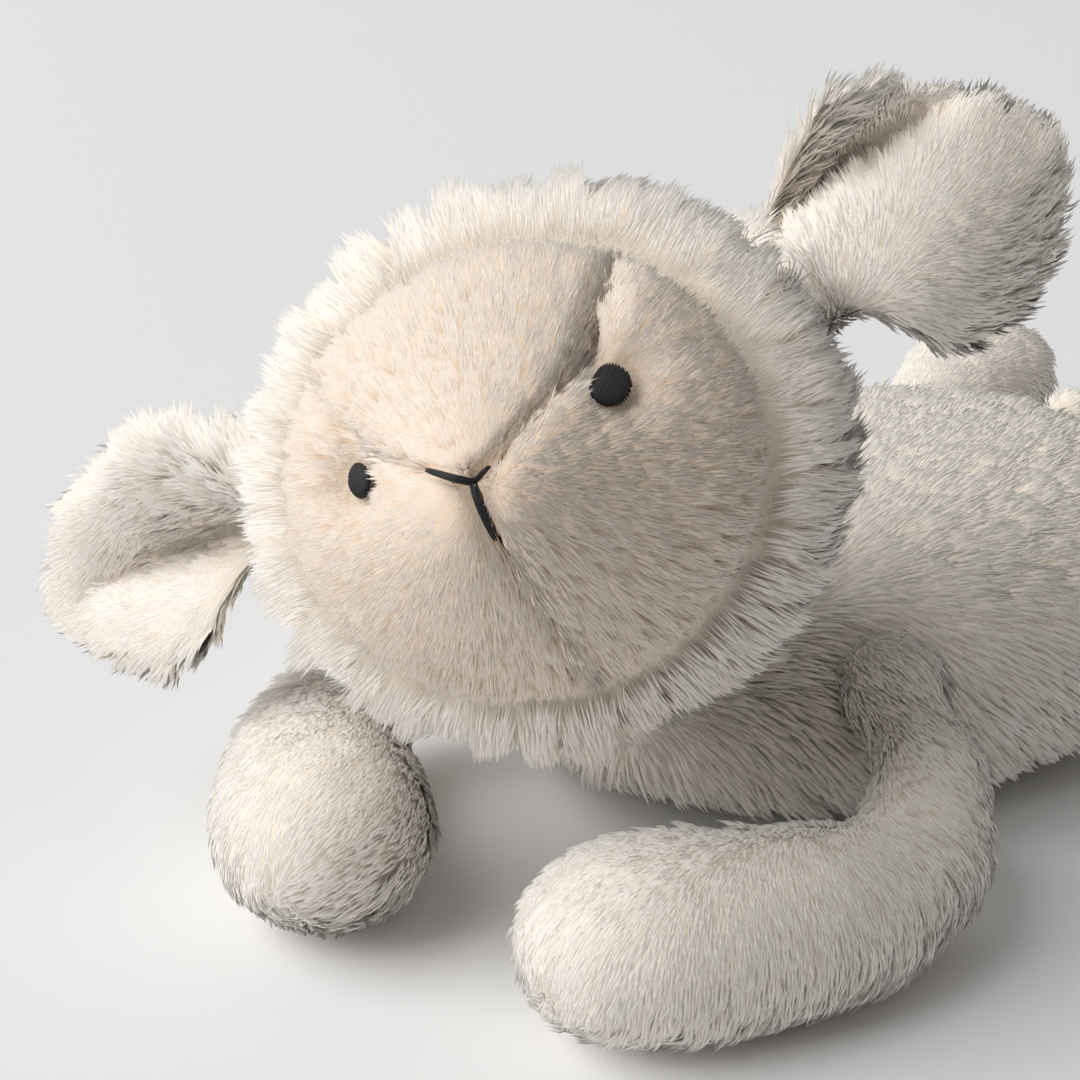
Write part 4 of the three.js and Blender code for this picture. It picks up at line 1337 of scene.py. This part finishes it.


class SHEEP_OT_ears(bpy.types.Operator):
    """Makes the folded ears and grows their wool"""
    bl_idname = "sheep.ears"
    bl_label = "Ears"
    bl_options = {"REGISTER", "UNDO"}

    def execute(self, context):
        for side, name in SIDES:
            self.make(side, name)
        return {"FINISHED"}

    def axes(self, side):
        """The ear's own directions: outwards along it, behind it and up across it."""
        s = shape()
        lift = s.ear_lift if side > 0 else 0.0
        swept = turned_by(0, 0, side * s.ear_sweep) @ turned_by(0, -side * lift, 0)
        return head_turn() @ np.array(swept)

    def in_ear(self, points, side):
        """How far points lie along the ear and above its middle line."""
        local = (points - from_head(EAR_ROOT * [side, 1, 1])) @ self.axes(side)
        return side * local[:, 0], local[:, 2]

    def fold(self, mesh, side):
        """Deepens the fold along the ear's middle and lets out its flanks beside the root."""
        s = shape()
        half = s.ear_half_width
        points = places(mesh)
        run, across = self.in_ear(points, side)
        share = np.clip(run / s.ear_length, 0, 1)
        low, climb, let_out = EAR_FOLDS[side]
        line = (low + climb * share) * half
        along = np.clip(share * FOLD_RISE + FOLD_START, 0, 1)
        along = along * np.clip((FOLD_END - share) * FOLD_FALL, 0, 1)
        crease = np.exp(-((across - line) / (CREASE_WIDTH * half)) ** 2) * along
        away = np.abs(across - line) / half
        room = 1 - line / half if side > 0 else 1.0
        roll = np.where(across > line, ROLL_PLACE * room, ROLL_PLACE)
        height = np.where(across > line, UPPER_HEIGHT * room, LOWER_HEIGHT)
        ridges = height * np.exp(-((away - roll) / (ROLL_WIDTH * roll)) ** 2) * along
        ridges = ridges - FALL * np.clip(away - FALL_START * roll, 0, FALL_LIMIT)
        upper = (across - line) / half + 0.5
        flank = let_out * np.exp(-((share - FLANK_MIDDLE) / FLANK_SPREAD) ** 2)
        flank = flank * np.clip(upper, FLANK_LEAST, 1)
        if side > 0:
            longer = -LEFT_DRAW * np.exp(-(share / DRAW_SPREAD) ** 2) * np.clip(upper, 0, 1)
        else:
            longer = RIGHT_STRETCH * share ** STRETCH_POWER
            lower = np.clip((line - across) / (TUCK_WIDTH * half), 0, 1)
            flank = flank - RIGHT_TUCK * np.exp(-((share - TUCK_MIDDLE) / TUCK_SPREAD) ** 2) * lower
        moves = np.stack([side * longer, (crease - ridges) * s.ear_fold, flank], axis=1)
        set_places(mesh, points + moves @ self.axes(side).T)
        return crease

    def make(self, side, name):
        """One ear, combed towards its tip and out from its middle line."""
        nodes = (f"ear_{name}_back", f"ear_{name}_front")
        skin = stuffed_skin(f"ear_{name}_cloth", nodes, voxel=0.0018, inset=0.0012, cap=0.0006)
        crease = self.fold(skin.data, side)
        points, normals = places(skin.data), outward(skin.data)
        run, across = self.in_ear(points, side)
        along, _ = flow_along(skin.data, JOINT_PLACES[f"ear_{name}"])
        spread = (np.tanh(across / PARTING_WIDTH) * PARTING)[:, None]
        comb = on_surface(along + self.axes(side)[:, 2] * spread, normals)
        edge = np.clip(np.abs(across) / EAR_EDGE, 0, 1)
        near_root = ROOT_PILE * np.exp(-(run / ROOT_SPREAD) ** 2) * np.clip(across / ROOT_RISE, 0, 1)
        reach = (MIDDLE_PILE + EDGE_PILE * edge) * (1 + near_root) * (1 - CREASE_SHORT_AND_SHADE * crease)
        finish_skin(skin, f"ear_{name}", nodes)
        # The lower tone in the crease is painted shade.
        coat("ear", f"ear_{name}_wool", skin, f"ear_{name}", "ear", comb, side, reach=reach,
             tone=PLAIN_TONE - CREASE_SHORT_AND_SHADE * crease)


FLOOR_CORNERS = [(-4, -4, 0), (4, -4, 0), (4, 4, 0), (-4, 4, 0)]
WINDOW_PLACE, WINDOW_AIM, WINDOW_SIZE = (-2.7, -2.58, 3.35), (0.0, -0.08, 0.05), 5.5
WINDOW_COLOUR = (0.98, 0.99, 1.0)
ROOM_COLOUR = (1.0, 0.985, 0.965)


def aimed(thing, place, aim):
    """Puts a camera or a lamp in its place and turns it to its aim."""
    thing.location = place
    thing.rotation_euler = (Vector(aim) - Vector(place)).to_track_quat("-Z", "Y").to_euler()


class SHEEP_OT_stage(bpy.types.Operator):
    """Sets the camera, the floor and the light"""
    bl_idname = "sheep.stage"
    bl_label = "Stage"
    bl_options = {"REGISTER", "UNDO"}

    def execute(self, context):
        stage = context.scene.sheep_stage
        self.camera(context, stage)
        self.floor(stage)
        self.window(stage)
        self.room(context, stage)
        context.scene.view_settings.view_transform = "Standard"
        return {"FINISHED"}

    def camera(self, context, stage):
        """The camera in the photograph's place."""
        data = bpy.data.cameras.new("camera")
        data.lens = stage.lens
        data.sensor_width = 36
        data.clip_start = 0.01
        camera = new_object("camera", data)
        aimed(camera, stage.camera_place, stage.camera_aim)
        context.scene.camera = camera

    def floor(self, stage):
        """A pale floor that gives the sheep a warmer light than it shows."""
        mesh = bpy.data.meshes.new("floor")
        mesh.from_pydata(FLOOR_CORNERS, [], [(0, 1, 2, 3)])
        floor = new_object("floor", mesh)
        material, tree, shader = new_material("floor", roughness=0.7, specular=0.2)
        bounce, seen = tuple(stage.floor_bounce), tuple(stage.floor_colour)
        plug(tree, shader.inputs["Base Color"], mixed(tree, self.seen_rays(tree), bounce, seen))
        mesh.materials.append(material)

    def seen_rays(self, tree):
        """1 for rays that show the stage itself: camera, glossy and transmission rays."""
        rays = node(tree, "ShaderNodeLightPath")
        camera, glossy, through = (Wire(tree, rays.outputs[f"Is {kind} Ray"])
                                   for kind in ("Camera", "Glossy", "Transmission"))
        return camera.at_least(glossy).at_least(through)

    def window(self, stage):
        """The large soft light in front of the sheep, above its right side."""
        data = bpy.data.lights.new("window", "AREA")
        data.energy = stage.window_power
        data.color = WINDOW_COLOUR
        data.shape = "SQUARE"
        data.size = WINDOW_SIZE
        aimed(new_object("window", data), WINDOW_PLACE, WINDOW_AIM)

    def room(self, context, stage):
        """The room's even light, behind a plain backdrop."""
        world = bpy.data.worlds.new("room")
        world.use_nodes = True
        tree = world.node_tree
        tree.nodes.clear()
        room = node(tree, "ShaderNodeBackground", Color=ROOM_COLOUR, Strength=stage.room_strength)
        seen = node(tree, "ShaderNodeBackground", Color=tuple(stage.backdrop_colour), Strength=1.0)
        chosen = tree.nodes.new("ShaderNodeMixShader")
        plug(tree, chosen.inputs[0], self.seen_rays(tree))
        tree.links.new(room.outputs[0], chosen.inputs[1])
        tree.links.new(seen.outputs[0], chosen.inputs[2])
        tree.links.new(chosen.outputs[0], tree.nodes.new("ShaderNodeOutputWorld").inputs["Surface"])
        context.scene.world = world


OPERATORS = (SHEEP_OT_finishes, SHEEP_OT_stage, SHEEP_OT_trunk, SHEEP_OT_neck, SHEEP_OT_limbs,
             SHEEP_OT_hood, SHEEP_OT_face, SHEEP_OT_features, SHEEP_OT_ears)
GROUPS = (
    ("sheep_pile", SheepPileSettings),
    ("sheep_shape", SheepShapeSettings),
    ("sheep_stage", SheepStageSettings),
)


class SHEEP_PT_panel(bpy.types.Panel):
    """Lists the sheep's steps and settings"""
    bl_label = "Plush Sheep"
    bl_idname = "SHEEP_PT_panel"
    bl_space_type = "VIEW_3D"
    bl_region_type = "UI"
    bl_category = "Sheep"

    def draw(self, context):
        for operator in OPERATORS:
            self.layout.operator(operator.bl_idname)
        for group, _ in GROUPS:
            settings = getattr(context.scene, group)
            for name in settings.__annotations__:
                self.layout.prop(settings, name)


def register():
    """Registers the settings, the operators and the panel."""
    for name, group in GROUPS:
        bpy.utils.register_class(group)
        setattr(bpy.types.Scene, name, bpy.props.PointerProperty(type=group))
    for each in (*OPERATORS, SHEEP_PT_panel):
        bpy.utils.register_class(each)


def unregister():
    """Takes out what register put in."""
    for each in (SHEEP_PT_panel, *reversed(OPERATORS)):
        bpy.utils.unregister_class(each)
    for name, group in GROUPS:
        delattr(bpy.types.Scene, name)
        bpy.utils.unregister_class(group)


def main():
    """Makes the whole sheep step by step."""
    register()
    for operator in OPERATORS:
        step = operator.bl_idname.split(".")[1]
        getattr(bpy.ops.sheep, step)()


if __name__ == "__main__":
    main()
